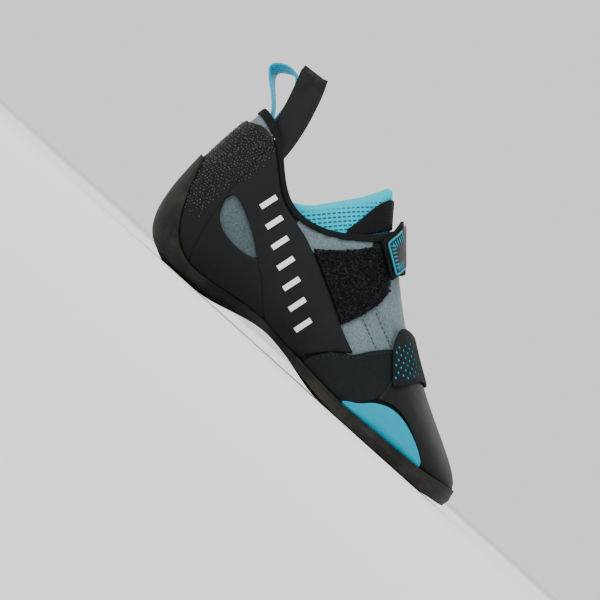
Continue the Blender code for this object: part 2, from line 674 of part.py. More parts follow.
def build_straps():
    patch(
        "loop_patch", PATCH_LOWER, PATCH_TOP, PATCH_REAR, PATCH_FRONT,
        columns=7, rows=6, lift=GAP, thick=PANEL_THICK, finish="black pile",
    )
    patch(
        "upper_strap", UPPER_STRAP_FRONT, UPPER_STRAP_REAR, (UPPER_STRAP_FRONT[0], UPPER_STRAP_REAR[0]),
        (UPPER_STRAP_FRONT[-1], UPPER_STRAP_REAR[-1]),
        columns=15, rows=3, lift=STRAP_LIFT, thick=STRAP_THICK, finish="black web",
    )
    patch(
        "upper_strap_tab", TAB_FRONT, TAB_REAR, (TAB_FRONT[0], TAB_REAR[0]), (TAB_FRONT[-1], TAB_REAR[-1]),
        columns=6, rows=3, lift=TAB_LIFT, thick=TAB_THICK, finish="moulded rubber",
    )
    patch(
        "lower_strap", LOWER_STRAP_FRONT, LOWER_STRAP_REAR, (LOWER_STRAP_FRONT[0], LOWER_STRAP_REAR[0]),
        (LOWER_STRAP_FRONT[-1], LOWER_STRAP_REAR[-1]),
        columns=16, rows=3, lift=STRAP_LIFT, thick=STRAP_THICK, finish="black web",
    )


def centre_on_floor():
    """Hangs every piece from one empty and moves it so that the shoe's box is centred over the origin."""
    pieces = list(bpy.data.collections[COLLECTION].objects)
    bpy.context.view_layer.update()
    graph = bpy.context.evaluated_depsgraph_get()
    points = []
    for piece in pieces:
        shape = piece.evaluated_get(graph).to_mesh()
        points += [vert.co[:] for vert in shape.vertices]
        piece.evaluated_get(graph).to_mesh_clear()
    low, high = np.min(points, axis=0), np.max(points, axis=0)
    root = bpy.data.objects.new("shoe_origin", None)
    bpy.data.collections[COLLECTION].objects.link(root)
    root.location = (-(low[0] + high[0]) / 2, -(low[1] + high[1]) / 2, -low[2])
    for piece in pieces:
        piece.parent = root


def main():
    for old in list(bpy.data.objects):
        bpy.data.objects.remove(old, do_unlink=True)
    bpy.context.scene.collection.children.link(bpy.data.collections.new(COLLECTION))
    build_upper()
    build_outsole()
    build_insole()
    build_collar_binding()
    build_tongue()
    build_tongue_tab()
    build_rands()
    for side, flip in (("outer", False), ("inner", True)):
        build_side(side, flip)
    build_straps()
    for loop in PULL_LOOPS:
        build_pull_loop(loop)
    centre_on_floor()


main()
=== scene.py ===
"""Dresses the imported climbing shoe: suede upper, rubber rands and sole, straps, tongue and loops."""

import json
import logging
import math
import random
from collections import defaultdict
from dataclasses import dataclass, field
from enum import Enum
from typing import Iterable, Sequence

import bmesh
import bpy
import numpy as np
from mathutils import Matrix, Vector
from mathutils.bvhtree import BVHTree
from mathutils.geometry import barycentric_transform
from mathutils.kdtree import KDTree

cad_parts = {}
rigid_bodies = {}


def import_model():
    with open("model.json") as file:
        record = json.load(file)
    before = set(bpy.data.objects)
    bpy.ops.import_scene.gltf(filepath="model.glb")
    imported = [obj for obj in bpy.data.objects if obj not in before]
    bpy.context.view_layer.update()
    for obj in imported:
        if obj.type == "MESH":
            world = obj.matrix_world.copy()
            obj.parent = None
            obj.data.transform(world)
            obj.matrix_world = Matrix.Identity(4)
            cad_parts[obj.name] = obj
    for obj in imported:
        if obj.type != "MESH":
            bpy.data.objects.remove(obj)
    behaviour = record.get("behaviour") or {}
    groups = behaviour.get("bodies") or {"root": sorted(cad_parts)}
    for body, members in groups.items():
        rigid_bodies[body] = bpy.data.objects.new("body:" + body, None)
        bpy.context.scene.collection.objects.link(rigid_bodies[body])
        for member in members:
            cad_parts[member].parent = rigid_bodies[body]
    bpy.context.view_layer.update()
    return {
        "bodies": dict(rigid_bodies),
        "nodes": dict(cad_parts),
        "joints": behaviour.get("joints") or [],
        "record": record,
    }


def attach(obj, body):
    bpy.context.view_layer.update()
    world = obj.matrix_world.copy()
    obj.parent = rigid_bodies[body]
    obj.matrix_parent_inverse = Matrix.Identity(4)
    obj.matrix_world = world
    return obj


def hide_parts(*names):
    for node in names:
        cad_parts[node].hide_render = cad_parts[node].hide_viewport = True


LOG = logging.getLogger("climbing_shoe")

# Sizes in fields are in millimetres, and the points of a mesh are in metres.
MM = 0.001
BODY = "root"
SEED = 7

# How far out a ray to the side of the shoe starts, in metres, and the points along a straight row.
FAR = 0.2
ROW_POINTS = 16

# The half sizes, in millimetres, that leave a shape as large as it was made.
TRUE_SIZE = (1 / MM, 1 / MM, 1 / MM)

# A length in metres that keeps a division from meeting zero.
TINY = 1e-9

# The sockets of a colour Mix node, which go by number.
MIX_A = 6
MIX_B = 7
MIX_OUT = 2

# The attribute of a piece that holds each point's distance from its edge, in millimetres.
EDGE_DISTANCE = "from_edge"

# A Wave texture runs through 20 radians for each unit of its scale.
WAVE_TURN = 2 * math.pi / 20


class Region(Enum):
    """The kinds of face on a sheet-like solid, which are also its material slots."""

    OUTER = 0
    EDGE = 1
    INNER = 2
    COVERED = 3
    WINDOW = 4


class Side(Enum):
    """The two sides of the shoe, by the way that each faces along Y."""

    OUTER = -1
    INNER = 1

    @property
    def tail(self) -> str:
        """The end of the names of this side's nodes."""
        return "outer" if self is Side.OUTER else "inner"


def linear(code: str) -> tuple[float, float, float, float]:
    """Turns a colour from sRGB to linear light.

    Args:
        code: The colour as a hex value, such as #44B2C2.

    Returns:
        Red, green and blue as linear shares, and a full alpha.
    """
    shares = [int(code[at : at + 2], 16) / 255 for at in (1, 3, 5)]
    red, green, blue = (c / 12.92 if c <= 0.04045 else ((c + 0.055) / 1.055) ** 2.4 for c in shares)
    return red, green, blue, 1.0


def add_node(
    tree: bpy.types.NodeTree, kind: str, feeds: dict | None = None, **settings: object
) -> bpy.types.Node:
    """Adds a node to a tree.

    Args:
        tree: The material's or world's tree.
        kind: The node's type name.
        feeds: What goes into its sockets: another node's output, which is linked, or a plain value.
        **settings: The node's own properties.

    Returns:
        The new node.
    """
    made = tree.nodes.new(kind)
    for name, value in settings.items():
        setattr(made, name, value)
    for socket, value in (feeds or {}).items():
        if isinstance(value, bpy.types.NodeSocket):
            tree.links.new(value, made.inputs[socket])
        else:
            made.inputs[socket].default_value = value
    return made


def per_mm(size: float) -> float:
    """The scale of a noise whose marks are this many millimetres wide."""
    return 1 / (size * MM)


def put(name: str, data: bpy.types.ID) -> bpy.types.Object:
    """Puts a new object into the scene.

    Args:
        name: Its name.
        data: Its mesh, curve, light or camera.

    Returns:
        The object.
    """
    made = bpy.data.objects.new(name, data)
    bpy.context.scene.collection.objects.link(made)
    return made


def mesh_of(shape: bmesh.types.BMesh, name: str) -> bpy.types.Mesh:
    """Makes a mesh of a bmesh and lets the bmesh go.

    Args:
        shape: The shape, in place.
        name: The mesh's name.

    Returns:
        The mesh.
    """
    mesh = bpy.data.meshes.new(name)
    shape.to_mesh(mesh)
    shape.free()
    return mesh


@dataclass(frozen=True)
class Look:
    """What a finish's pattern gives the shader: the share of its shade, and its relief."""

    share: bpy.types.NodeSocket
    height: bpy.types.NodeSocket
    depth: float
    strength: float
    roughness: bpy.types.NodeSocket | None = None


@dataclass(frozen=True)
class Finish:
    """A material: its two tones, its gloss, and the pattern that a kind of finish adds."""

    name: str
    tone: str
    shade: str
    roughness: float
    specular: float = 0.5
    sheen: float = 0.0

    def material(self) -> bpy.types.Material:
        """Makes the material the first time it is asked for.

        Returns:
            The material of this finish.
        """
        known = bpy.data.materials.get(self.name)
        if known is not None:
            return known
        made = bpy.data.materials.new(self.name)
        made.use_nodes = True
        made.diffuse_color = linear(self.tone)
        tree = made.node_tree
        tree.nodes.clear()
        look = self.pattern(tree)
        tones = add_node(
            tree,
            "ShaderNodeMix",
            {0: look.share, MIX_A: linear(self.tone), MIX_B: linear(self.shade)},
            data_type="RGBA",
        )
        relief = add_node(
            tree,
            "ShaderNodeBump",
            {"Height": look.height, "Distance": look.depth * MM, "Strength": look.strength},
        )
        body = add_node(
            tree,
            "ShaderNodeBsdfPrincipled",
            {
                "Base Color": tones.outputs[MIX_OUT],
                "Roughness": look.roughness or self.roughness,
                "Specular IOR Level": self.specular,
                "Sheen Weight": self.sheen,
                "Normal": relief.outputs["Normal"],
            },
        )
        add_node(tree, "ShaderNodeOutputMaterial", {"Surface": body.outputs["BSDF"]})
        return made

    def pattern(self, tree: bpy.types.NodeTree) -> Look:
        """Adds what the eye sees of this finish: each kind of finish has its own."""
        raise NotImplementedError


@dataclass(frozen=True)
class Suede(Finish):
    """Split leather, brushed: a matt nap in two tones with brushed patches, and no gloss."""

    # A real nap is about 0.4 mm: it is drawn coarser so that it shows.
    nap: float = 1.3
    patch: float = 14.0
    patchy: float = 0.3
    spread: float = 0.2
    depth: float = 0.35
    strength: float = 0.45

    def pattern(self, tree: bpy.types.NodeTree) -> Look:
        """Adds the nap and its brushed patches.

        Args:
            tree: The material's tree.

        Returns:
            The pattern's sockets.
        """
        place = add_node(tree, "ShaderNodeTexCoord").outputs["Object"]
        nap = add_node(
            tree,
            "ShaderNodeTexNoise",
            {"Vector": place, "Scale": per_mm(self.nap), "Detail": 4.0, "Roughness": 0.7},
        ).outputs["Fac"]
        patch = add_node(
            tree, "ShaderNodeTexNoise", {"Vector": place, "Scale": per_mm(self.patch), "Detail": 2.0}
        ).outputs["Fac"]
        both = add_node(
            tree,
            "ShaderNodeMath",
            {0: patch, 1: self.patchy, 2: nap},
            operation="MULTIPLY_ADD",
        ).outputs[0]
        middle = (1 + self.patchy) / 2
        share = add_node(
            tree,
            "ShaderNodeMapRange",
            {"Value": both, "From Min": middle - self.spread, "From Max": middle + self.spread},
        )
        return Look(share.outputs["Result"], nap, self.depth, self.strength)


@dataclass(frozen=True)
class Rubber(Finish):
    """Moulded climbing rubber: satin, with a fine grain, soft dents, and dust that dulls it in patches."""

    # A moulded grain is about 0.2 mm: it is drawn coarser so that it shows.
    grain: float = 0.6
    dent: float = 13.0
    dented: float = 9.0
    dust: float = 26.0
    dusty: float = 0.3
    dust_range: tuple[float, float] = (0.42, 0.75)
    dull_range: tuple[float, float] = (0.35, 0.7)
    dulled: float = 0.16
    depth: float = 0.12
    strength: float = 0.35

    def pattern(self, tree: bpy.types.NodeTree) -> Look:
        """Adds the grain, the dents and the dust.

        Args:
            tree: The material's tree.

        Returns:
            The pattern's sockets.
        """
        place = add_node(tree, "ShaderNodeTexCoord").outputs["Object"]
        grain, dents, dust = (
            add_node(
                tree,
                "ShaderNodeTexNoise",
                {"Vector": place, "Scale": per_mm(size), "Detail": detail, "Roughness": rough},
            ).outputs["Fac"]
            for size, detail, rough in ((self.grain, 3.0, 0.5), (self.dent, 1.0, 0.5), (self.dust, 6.0, 0.65))
        )
        share, dull = (
            add_node(
                tree,
                "ShaderNodeMapRange",
                {"Value": dust, "From Min": low, "From Max": high, "To Min": clean, "To Max": full},
            ).outputs["Result"]
            for (low, high), clean, full in (
                (self.dust_range, 0.0, self.dusty),
                (self.dull_range, self.roughness, min(1.0, self.roughness + self.dulled)),
            )
        )
        height = add_node(
            tree, "ShaderNodeMath", {0: dents, 1: self.dented, 2: grain}, operation="MULTIPLY_ADD"
        ).outputs[0]
        return Look(share, height, self.depth, self.strength, dull)


@dataclass(frozen=True)
class Woven(Finish):
    """Woven polyester tape: ribs across its length, crossed by the warp, with a faint sheen."""

    # Such tape has threads about 0.5 mm apart: they are drawn coarser so that they show.
    warp: float = 1.1
    weft: float = 1.3
    waver: float = 0.4
    gaps: float = 0.6
    depth: float = 0.35
    strength: float = 0.6

    def pattern(self, tree: bpy.types.NodeTree) -> Look:
        """Adds the crossing threads, on the piece's own flat map in metres.

        Args:
            tree: The material's tree.

        Returns:
            The pattern's sockets.
        """
        place = add_node(tree, "ShaderNodeTexCoord").outputs["UV"]
        along, across = (
            add_node(
                tree,
                "ShaderNodeTexWave",
                {"Vector": place, "Scale": WAVE_TURN / (size * MM), "Distortion": self.waver, "Detail": 1.0},
                bands_direction=way,
            ).outputs["Fac"]
            for way, size in (("X", self.weft), ("Y", self.warp))
        )
        threads = add_node(tree, "ShaderNodeMath", {0: along, 1: across}, operation="MULTIPLY").outputs[0]
        share = add_node(
            tree,
            "ShaderNodeMapRange",
            {"Value": threads, "From Max": self.gaps, "To Min": 1.0, "To Max": 0.0},
        )
        return Look(share.outputs["Result"], threads, self.depth, self.strength)


@dataclass(frozen=True)
class SpacerMesh(Finish):
    """Knitted spacer mesh: a soft bright face with rows of long dark dimples."""

    # The dimples of such a mesh are about 1.5 mm apart: they are drawn coarser so that they show.
    row: float = 2.4
    row_band: tuple[float, float] = (0.55, 0.9)
    dimple: float = 2.9
    dimple_band: tuple[float, float] = (0.12, 0.45)
    waver: float = 0.3
    edge: tuple[float, float] = (3.0, 5.5)
    depth: float = 0.8
    strength: float = 0.8

    def pattern(self, tree: bpy.types.NodeTree) -> Look:
        """Adds the dimples, on the piece's own flat map in metres and clear of its edge.

        Args:
            tree: The material's tree.

        Returns:
            The pattern's sockets.
        """
        place = add_node(tree, "ShaderNodeTexCoord").outputs["UV"]
        masks = []
        for way, size, (low, high) in (("X", self.dimple, self.dimple_band), ("Y", self.row, self.row_band)):
            wave = add_node(
                tree,
                "ShaderNodeTexWave",
                {"Vector": place, "Scale": WAVE_TURN / (size * MM), "Distortion": self.waver, "Detail": 0.0},
                bands_direction=way,
            )
            mask = add_node(
                tree,
                "ShaderNodeMapRange",
                {"Value": wave.outputs["Fac"], "From Min": low, "From Max": high},
                interpolation_type="SMOOTHSTEP",
            )
            masks.append(mask.outputs["Result"])
        rows = add_node(tree, "ShaderNodeMath", {0: masks[0], 1: masks[1]}, operation="MULTIPLY").outputs[0]
        inside = add_node(
            tree,
            "ShaderNodeMapRange",
            {
                "Value": add_node(tree, "ShaderNodeAttribute", attribute_name=EDGE_DISTANCE).outputs["Fac"],
                "From Min": self.edge[0],
                "From Max": self.edge[1],
            },
        ).outputs["Result"]
        share = add_node(tree, "ShaderNodeMath", {0: rows, 1: inside}, operation="MULTIPLY").outputs[0]
        height = add_node(tree, "ShaderNodeMath", {0: 1.0, 1: share}, operation="SUBTRACT").outputs[0]
        return Look(share, height, self.depth, self.strength)


@dataclass(frozen=True)
class Fibre(Finish):
    """Loose or pressed fibres, such as thread, pile or board: soft, matt and a little mottled."""

    # Fibres are far finer than this: their mottle is drawn coarser so that it shows.
    fibre: float = 0.5
    mottle: tuple[float, float] = (0.35, 0.65)
    depth: float = 0.3
    strength: float = 0.5

    def pattern(self, tree: bpy.types.NodeTree) -> Look:
        """Adds the mottle of the fibres.

        Args:
            tree: The material's tree.

        Returns:
            The pattern's sockets.
        """
        place = add_node(tree, "ShaderNodeTexCoord").outputs["Object"]
        noise = add_node(
            tree,
            "ShaderNodeTexNoise",
            {"Vector": place, "Scale": per_mm(self.fibre), "Detail": 3.0, "Roughness": 0.7},
        ).outputs["Fac"]
        low, high = self.mottle
        share = add_node(tree, "ShaderNodeMapRange", {"Value": noise, "From Min": low, "From Max": high})
        return Look(share.outputs["Result"], noise, self.depth, self.strength)


# Brushed microfibre split: a cool grey nap.
GREY_SUEDE = Suede("suede_grey", "#707F82", "#4B5B5E", roughness=0.95, specular=0.15, sheen=0.1)
# The same hide in the window of the heel, painted darker as shade because the window is recessed and faces
# down.
WINDOW_SHADE_SUEDE = Suede("suede_grey_painted_shade", "#556265", "#374448", roughness=0.95, specular=0.12)
# The same hide dyed black, over the forefoot. On the upper's covered hide this black is painted shade in the
# seams and gaps and under the strap.
BLACK_SUEDE = Suede("suede_black", "#1C1F20", "#151718", roughness=0.92, specular=0.12)
# The same hide dyed turquoise, with a print-smooth nap.
BLUE_SUEDE = Suede("suede_turquoise", "#009AB4", "#008CA6", roughness=0.9, specular=0.08, nap=0.5)
# Thin moulded rand rubber: satin black.
RAND_RUBBER = Rubber("rubber_rand", "#101112", "#242627", roughness=0.56, specular=0.15)
# Calendered sole rubber: a warmer, duller black that takes dust.
SOLE_RUBBER = Rubber(
    "rubber_sole", "#141312", "#3B3832", roughness=0.62, specular=0.18, dusty=0.75, dust=18.0
)
# Raised studs of the heel rubber, moulded glossy.
STUD_RUBBER = Rubber("rubber_studs", "#0B0C0D", "#191A1B", roughness=0.18, specular=0.5, dusty=0.1)
# Soft moulded tab rubber, in black and in turquoise: clean, with a low gloss.
TAB_BLACK = Rubber("rubber_tab_black", "#101112", "#1E2021", roughness=0.45, specular=0.25, dusty=0.15)
TAB_BLUE = Rubber("rubber_tab_turquoise", "#00879D", "#007488", roughness=0.45, specular=0.2, dusty=0.3)
# Narrow woven polyester tapes and webbing: fine crossing threads with a faint gloss.
BLACK_TAPE = Woven("tape_black", "#101113", "#08090A", roughness=0.55, specular=0.22)
BLUE_TAPE = Woven("tape_turquoise", "#00A6C4", "#0092AE", roughness=0.6, specular=0.12, depth=0.15)
STRAP_WEB = Woven("webbing_black", "#121314", "#090A0B", roughness=0.78, specular=0.15, warp=1.4, weft=1.6)
# Folded knit binding round the collar: a soft matt black.
BINDING = Fibre("binding_black", "#121315", "#0A0B0C", roughness=0.85, specular=0.15, fibre=0.8)
# Knitted spacer mesh of the tongue: bright, with deep blue dimples.
TONGUE_MESH = SpacerMesh("spacer_mesh_turquoise", "#00B4CE", "#006480", roughness=0.8, specular=0.1)
# Looped pile of the fastener: near black, with paler specks at random that are painted highlights, standing
# in for loops that catch the light.
PILE = Fibre(
    "loop_pile_black", "#26272D", "#030305", roughness=0.45, specular=0.12, fibre=1.5, mottle=(0.34, 0.48)
)
# Spun polyester sewing thread: a soft twist that shows light or dark against what it sews.
DARK_THREAD = Fibre("thread_dark", "#333B3D", "#232A2C", roughness=0.7, fibre=0.3)
PALE_THREAD = Fibre("thread_pale", "#C9CFCF", "#A9B1B2", roughness=0.7, fibre=0.3)
BLACK_THREAD = Fibre("thread_black", "#1F2123", "#121315", roughness=0.7, fibre=0.3)
# Brushed knit lining and pressed fibre board inside: matt and mottled.
LINING = Fibre("lining_grey", "#565E61", "#434A4C", roughness=0.9, fibre=0.8)
BOARD = Fibre("insole_board", "#9A9284", "#7E7769", roughness=0.9, fibre=1.2)
# White screen-print ink: an even film with a slight gloss.
INK = Fibre("print_white", "#F2F3F2", "#DCDEDD", roughness=0.55, fibre=0.6)
# Seamless paper under the shoe: an even matt white with no marks.
PAPER = Fibre("paper_floor", "#F1F1F0", "#EEEEED", roughness=0.95, specular=0.05, fibre=400.0)


@dataclass(frozen=True)
class Crease:
    """A soft fold line: a trough along a line, with a low ridge to each side."""

    start: tuple[float, float, float]
    end: tuple[float, float, float]
    width: float
    depth: float
    ridge: float = 0.45
    ridge_at: float = 2.0
    taper: float = 0.25
    ends: float = 0.25

    def push(self, points: np.ndarray) -> np.ndarray:
        """How far each point moves outwards.

        Args:
            points: Points in millimetres, one a row.

        Returns:
            The moves in millimetres, inwards negative.
        """
        start, end = np.array(self.start), np.array(self.end)
        line = end - start
        share = np.clip(((points - start) @ line) / (line @ line), 0.0, 1.0)
        off = np.linalg.norm(points - (start + share[:, None] * line), axis=1) / self.width
        fade = np.clip(np.minimum(share, 1 - share) / self.taper, self.ends, 1.0)
        ridges = self.ridge * np.exp(-((off - self.ridge_at) ** 2))
        return self.depth * fade * (ridges - np.exp(-(off**2)))


# Folds of the vamp between the straps, on both sides, and two short ones under the collar.
CREASES = (
    Crease((9.0, -38.0, 52.0), (33.0, -38.0, 42.5), width=2.0, depth=1.3),
    Crease((15.0, -33.0, 58.5), (37.0, -30.0, 49.0), width=2.0, depth=1.3),
    Crease((20.0, -27.0, 62.0), (38.0, -23.0, 53.5), width=2.2, depth=1.0),
    Crease((9.0, 31.0, 52.0), (33.0, 33.0, 42.5), width=2.0, depth=1.1),
    Crease((15.0, 26.0, 58.5), (37.0, 25.0, 49.0), width=2.0, depth=1.1),
    Crease((-24.5, -28.5, 79.0), (-21.0, -32.0, 69.0), width=1.8, depth=0.7),
    Crease((-33.5, -30.0, 75.0), (-28.5, -33.5, 65.5), width=1.8, depth=0.7),
)


@dataclass(frozen=True)
class Seam:
    """Where a piece's edge meets another solid: how far it looks for it, and how far it goes."""

    node: str
    reach: float = 1.0
    share: float = 0.7


@dataclass(frozen=True)
class RimPoint:
    """A point on the edge of a sheet's outer face."""

    at: Vector
    inward: Vector


class FlatMap:
    """The outer face of a piece laid flat, in metres, with the way back to the piece."""

    def __init__(self, piece: bpy.types.Object) -> None:
        """Reads the piece's UV map.

        Args:
            piece: A piece with a flat map on its outer face.
        """
        mesh = piece.data
        mesh.calc_loop_triangles()
        chart = mesh.uv_layers.active.data
        flat, solid, corners = [], [], []
        for part in mesh.loop_triangles:
            if mesh.polygons[part.polygon_index].material_index != Region.OUTER.value:
                continue
            corners.append(tuple(range(len(flat), len(flat) + 3)))
            flat += [chart[at].uv.to_3d() for at in part.loops]
            solid += [mesh.vertices[at].co.copy() for at in part.vertices]
        self.flat = flat
        self.solid = solid
        self.tree = BVHTree.FromPolygons(flat, corners)
        self.low = Vector(np.min([tuple(p) for p in flat], axis=0))
        self.high = Vector(np.max([tuple(p) for p in flat], axis=0))

    def at(self, across: float, along: float) -> tuple[Vector, Vector] | None:
        """Finds a place on the piece from its place on the map.

        Args:
            across: The place along the map's first axis, in metres.
            along: The place along its second axis.

        Returns:
            The point and its outward normal, or None off the piece.
        """
        spot = Vector((across, along, 0))
        hit, _, part, _ = self.tree.ray_cast(spot + Vector((0, 0, 1)), Vector((0, 0, -1)))
        if hit is None:
            return None
        flat = self.flat[3 * part : 3 * part + 3]
        solid = self.solid[3 * part : 3 * part + 3]
        normal = (solid[1] - solid[0]).cross(solid[2] - solid[0]).normalized()
        return barycentric_transform(spot, *flat, *solid), normal


@dataclass
class Workbench:
    """Turns the frame's solids into smooth, dressed pieces, and keeps what is made."""

    nodes: dict[str, bpy.types.Object]
    # The angle of an edge of a sheet, and the most that two halves of a four-sided face are bent.
    sharp: float = math.radians(48)
    bent: float = math.radians(40)
    weld: float = 0.02
    # How crisp an edge is that also keeps its corners.
    firm: float = 0.5
    # How far an edge looks for the sole, how far it goes there, and how straight it has to face it.
    sole: BVHTree | None = None
    sole_reach: float = 5.0
    sole_share: float = 1.05
    sole_facing: float = 0.4
    # The line along the middle of the foot, from which faces look outwards.
    axis_y: float = -3.0
    axis_z: float = 34.0
    map_gap: float = 0.02
    creases: list[Crease] = field(default_factory=list)
    made: list[bpy.types.Object] = field(default_factory=list)

    def cage(self, node: str, meets: Sequence[Seam] = (), crease: float = 0.0) -> bmesh.types.BMesh:
        """Copies a solid as a merged mesh of four-sided faces, with its regions and edges marked.

        Args:
            node: The solid's name.
            meets: The seams that are closed.
            crease: How crisp its other edges stay, 0 to 1.

        Returns:
            The mesh, whose material numbers are the regions.
        """
        cage = bmesh.new()
        cage.from_mesh(self.nodes[node].data)
        bmesh.ops.remove_doubles(cage, verts=cage.verts, dist=self.weld * MM)
        bmesh.ops.join_triangles(
            cage, faces=cage.faces, angle_face_threshold=self.bent, angle_shape_threshold=math.pi
        )
        self.mark_regions(cage)
        layer = cage.edges.layers.float.new("crease_edge")
        corner = cage.verts.layers.float.new("crease_vert")
        edges = [e for e in cage.edges if len(e.link_faces) == 2 and e.calc_face_angle() > self.sharp]
        rim = defaultdict(int)
        for edge in edges:
            for vert in edge.verts:
                rim[vert] += 1
        closed = self.close_seams(rim, meets)
        for edge in edges:
            edge[layer] = 1.0 if closed.issuperset(edge.verts) else crease
        for vert, count in rim.items():
            vert[corner] = 1.0 if count > 2 and crease > self.firm else 0.0
        return cage

    def close_seams(
        self, rim: Iterable[bmesh.types.BMVert], meets: Sequence[Seam]
    ) -> set[bmesh.types.BMVert]:
        """Moves the rim of a piece to the pieces that it meets.

        Args:
            rim: The vertices of the rim.
            meets: The seams.

        Returns:
            The vertices that moved.
        """
        moved = set()
        for seam in meets:
            tree = self.tree(self.nodes[seam.node])
            for vert in rim:
                hit, _, _, gap = tree.find_nearest(vert.co)
                inward = sum((f.calc_center_median() - vert.co for f in vert.link_faces), Vector())
                if gap < seam.reach * MM and (hit - vert.co).dot(inward) < 0:
                    vert.co = vert.co.lerp(hit, seam.share)
                    moved.add(vert)
        return moved

    def mark_regions(self, cage: bmesh.types.BMesh) -> None:
        """Marks each face of a sheet as outer, inner or edge.

        Args:
            cage: The mesh, closed and merged.
        """
        cage.faces.ensure_lookup_table()
        left = set(range(len(cage.faces)))
        cage.faces.index_update()
        groups = []
        while left:
            todo = [min(left)]
            left.discard(todo[0])
            group = []
            while todo:
                face = cage.faces[todo.pop()]
                group.append(face)
                for edge in face.edges:
                    if len(edge.link_faces) == 2 and edge.calc_face_angle() < self.sharp:
                        near = [f.index for f in edge.link_faces if f.index in left]
                        left.difference_update(near)
                        todo += near
            groups.append(group)
        groups.sort(key=lambda faces: -sum(f.calc_area() for f in faces))
        for group in groups:
            for face in group:
                face.material_index = Region.EDGE.value
        pair = sorted(groups[:2], key=self.faces_out)
        for group, region in zip(reversed(pair), (Region.OUTER, Region.INNER)):
            for face in group:
                face.material_index = region.value

    def faces_out(self, faces: Sequence[bmesh.types.BMFace]) -> float:
        """How much a group of faces looks away from the foot.

        Args:
            faces: The faces.

        Returns:
            A positive number where they look outwards.
        """
        total = 0.0
        for face in faces:
            middle = face.calc_center_median()
            away = Vector((0, middle.y - self.axis_y * MM, middle.z - self.axis_z * MM))
            total += face.calc_area() * face.normal.dot(away)
        return total

    def smooth(
        self,
        node: str,
        name: str,
        levels: int = 2,
        crease: float = 0.85,
        meets: Sequence[Seam] = (),
        sits: bool = False,
    ) -> bpy.types.Object:
        """Makes a smooth piece from a solid.

        Args:
            node: The solid's name.
            name: The piece's name.
            levels: How often its faces are split.
            crease: How crisp its edges stay, 0 to 1.
            meets: The seams that are closed.
            sits: Whether its lower edge comes down to the sole.

        Returns:
            The piece, with its regions as material numbers.
        """
        piece = self.piece_from(self.cage(node, meets, crease), name)
        rounding = piece.modifiers.new("rounding", "SUBSURF")
        rounding.levels = levels
        rounding.render_levels = levels
        self.settle(piece)
        self.fold(piece)
        if sits:
            self.sit(piece)
        return piece

    def sit(self, piece: bpy.types.Object) -> None:
        """Brings the lower edge of a piece down to the sole and a little into it.

        Args:
            piece: The piece, with its regions marked.
        """
        mesh = piece.data
        ways = defaultdict(Vector)
        for part in mesh.polygons:
            if part.material_index == Region.EDGE.value:
                for at in part.vertices:
                    ways[at] += part.normal
        for at, way in ways.items():
            vert = mesh.vertices[at]
            hit, _, _, gap = self.sole.find_nearest(vert.co)
            facing = (hit - vert.co).dot(way.normalized())
            if gap < self.sole_reach * MM and facing > self.sole_facing * gap:
                vert.co = vert.co.lerp(hit, self.sole_share)
        mesh.update()

    def piece_from(self, shape: bmesh.types.BMesh, name: str) -> bpy.types.Object:
        """Makes an object of a bmesh and lets the bmesh go."""
        return put(name, mesh_of(shape, name))

    def settle(self, piece: bpy.types.Object) -> None:
        """Applies a piece's modifiers.

        Args:
            piece: The piece.
        """
        scene = bpy.context.evaluated_depsgraph_get()
        done = bpy.data.meshes.new_from_object(piece.evaluated_get(scene))
        piece.modifiers.clear()
        old, piece.data = piece.data, done
        bpy.data.meshes.remove(old)
        done.shade_smooth()
        done.set_sharp_from_angle(angle=self.sharp)

    def fold(self, piece: bpy.types.Object) -> None:
        """Presses the creases into a piece.

        Args:
            piece: The piece.
        """
        mesh = piece.data
        points = np.empty(len(mesh.vertices) * 3)
        mesh.vertices.foreach_get("co", points)
        points = points.reshape(-1, 3)
        out = points - np.array((0, self.axis_y, self.axis_z)) * MM
        out[:, 0] = 0
        out /= np.maximum(np.linalg.norm(out, axis=1), TINY)[:, None]
        push = sum((c.push(points / MM) for c in self.creases), np.zeros(len(points)))
        points += push[:, None] * out * MM
        mesh.vertices.foreach_set("co", points.ravel())
        mesh.update()

    def dress(
        self,
        piece: bpy.types.Object,
        slot: str,
        finishes: Sequence[Finish],
        replaces: str | None = None,
    ) -> None:
        """Gives a piece its finishes and its place in the frame.

        Args:
            piece: The piece.
            slot: The record's material slot; not used.
            finishes: One finish, or one for each region.
            replaces: The solid that it stands for, if any.
        """
        for finish in finishes:
            piece.data.materials.append(finish.material())
        if len(finishes) == 1:
            piece.data.polygons.foreach_set("material_index", [0] * len(piece.data.polygons))
        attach(piece, BODY)
        if replaces:
            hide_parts(replaces)
        self.made.append(piece)

    def lay_flat(self, piece: bpy.types.Object, toward: tuple[float, float, float]) -> None:
        """Gives a piece a flat map in metres, its long way along the first axis.

        Args:
            piece: The piece, with its regions marked.
            toward: The direction in which the first axis grows.
        """
        mesh = piece.data
        shape = bmesh.new()
        shape.from_mesh(mesh)
        for edge in shape.edges:
            edge.seam = len({f.material_index for f in edge.link_faces}) > 1
        shape.to_mesh(mesh)
        shape.free()
        if not mesh.uv_layers:
            mesh.uv_layers.new(name="flat")
        bpy.ops.object.select_all(action="DESELECT")
        piece.select_set(True)
        bpy.context.view_layer.objects.active = piece
        bpy.ops.object.mode_set(mode="EDIT")
        bpy.ops.mesh.select_all(action="SELECT")
        bpy.ops.uv.unwrap(method="ANGLE_BASED", margin=self.map_gap)
        bpy.ops.object.mode_set(mode="OBJECT")
        self.true_scale(mesh, Vector(toward))

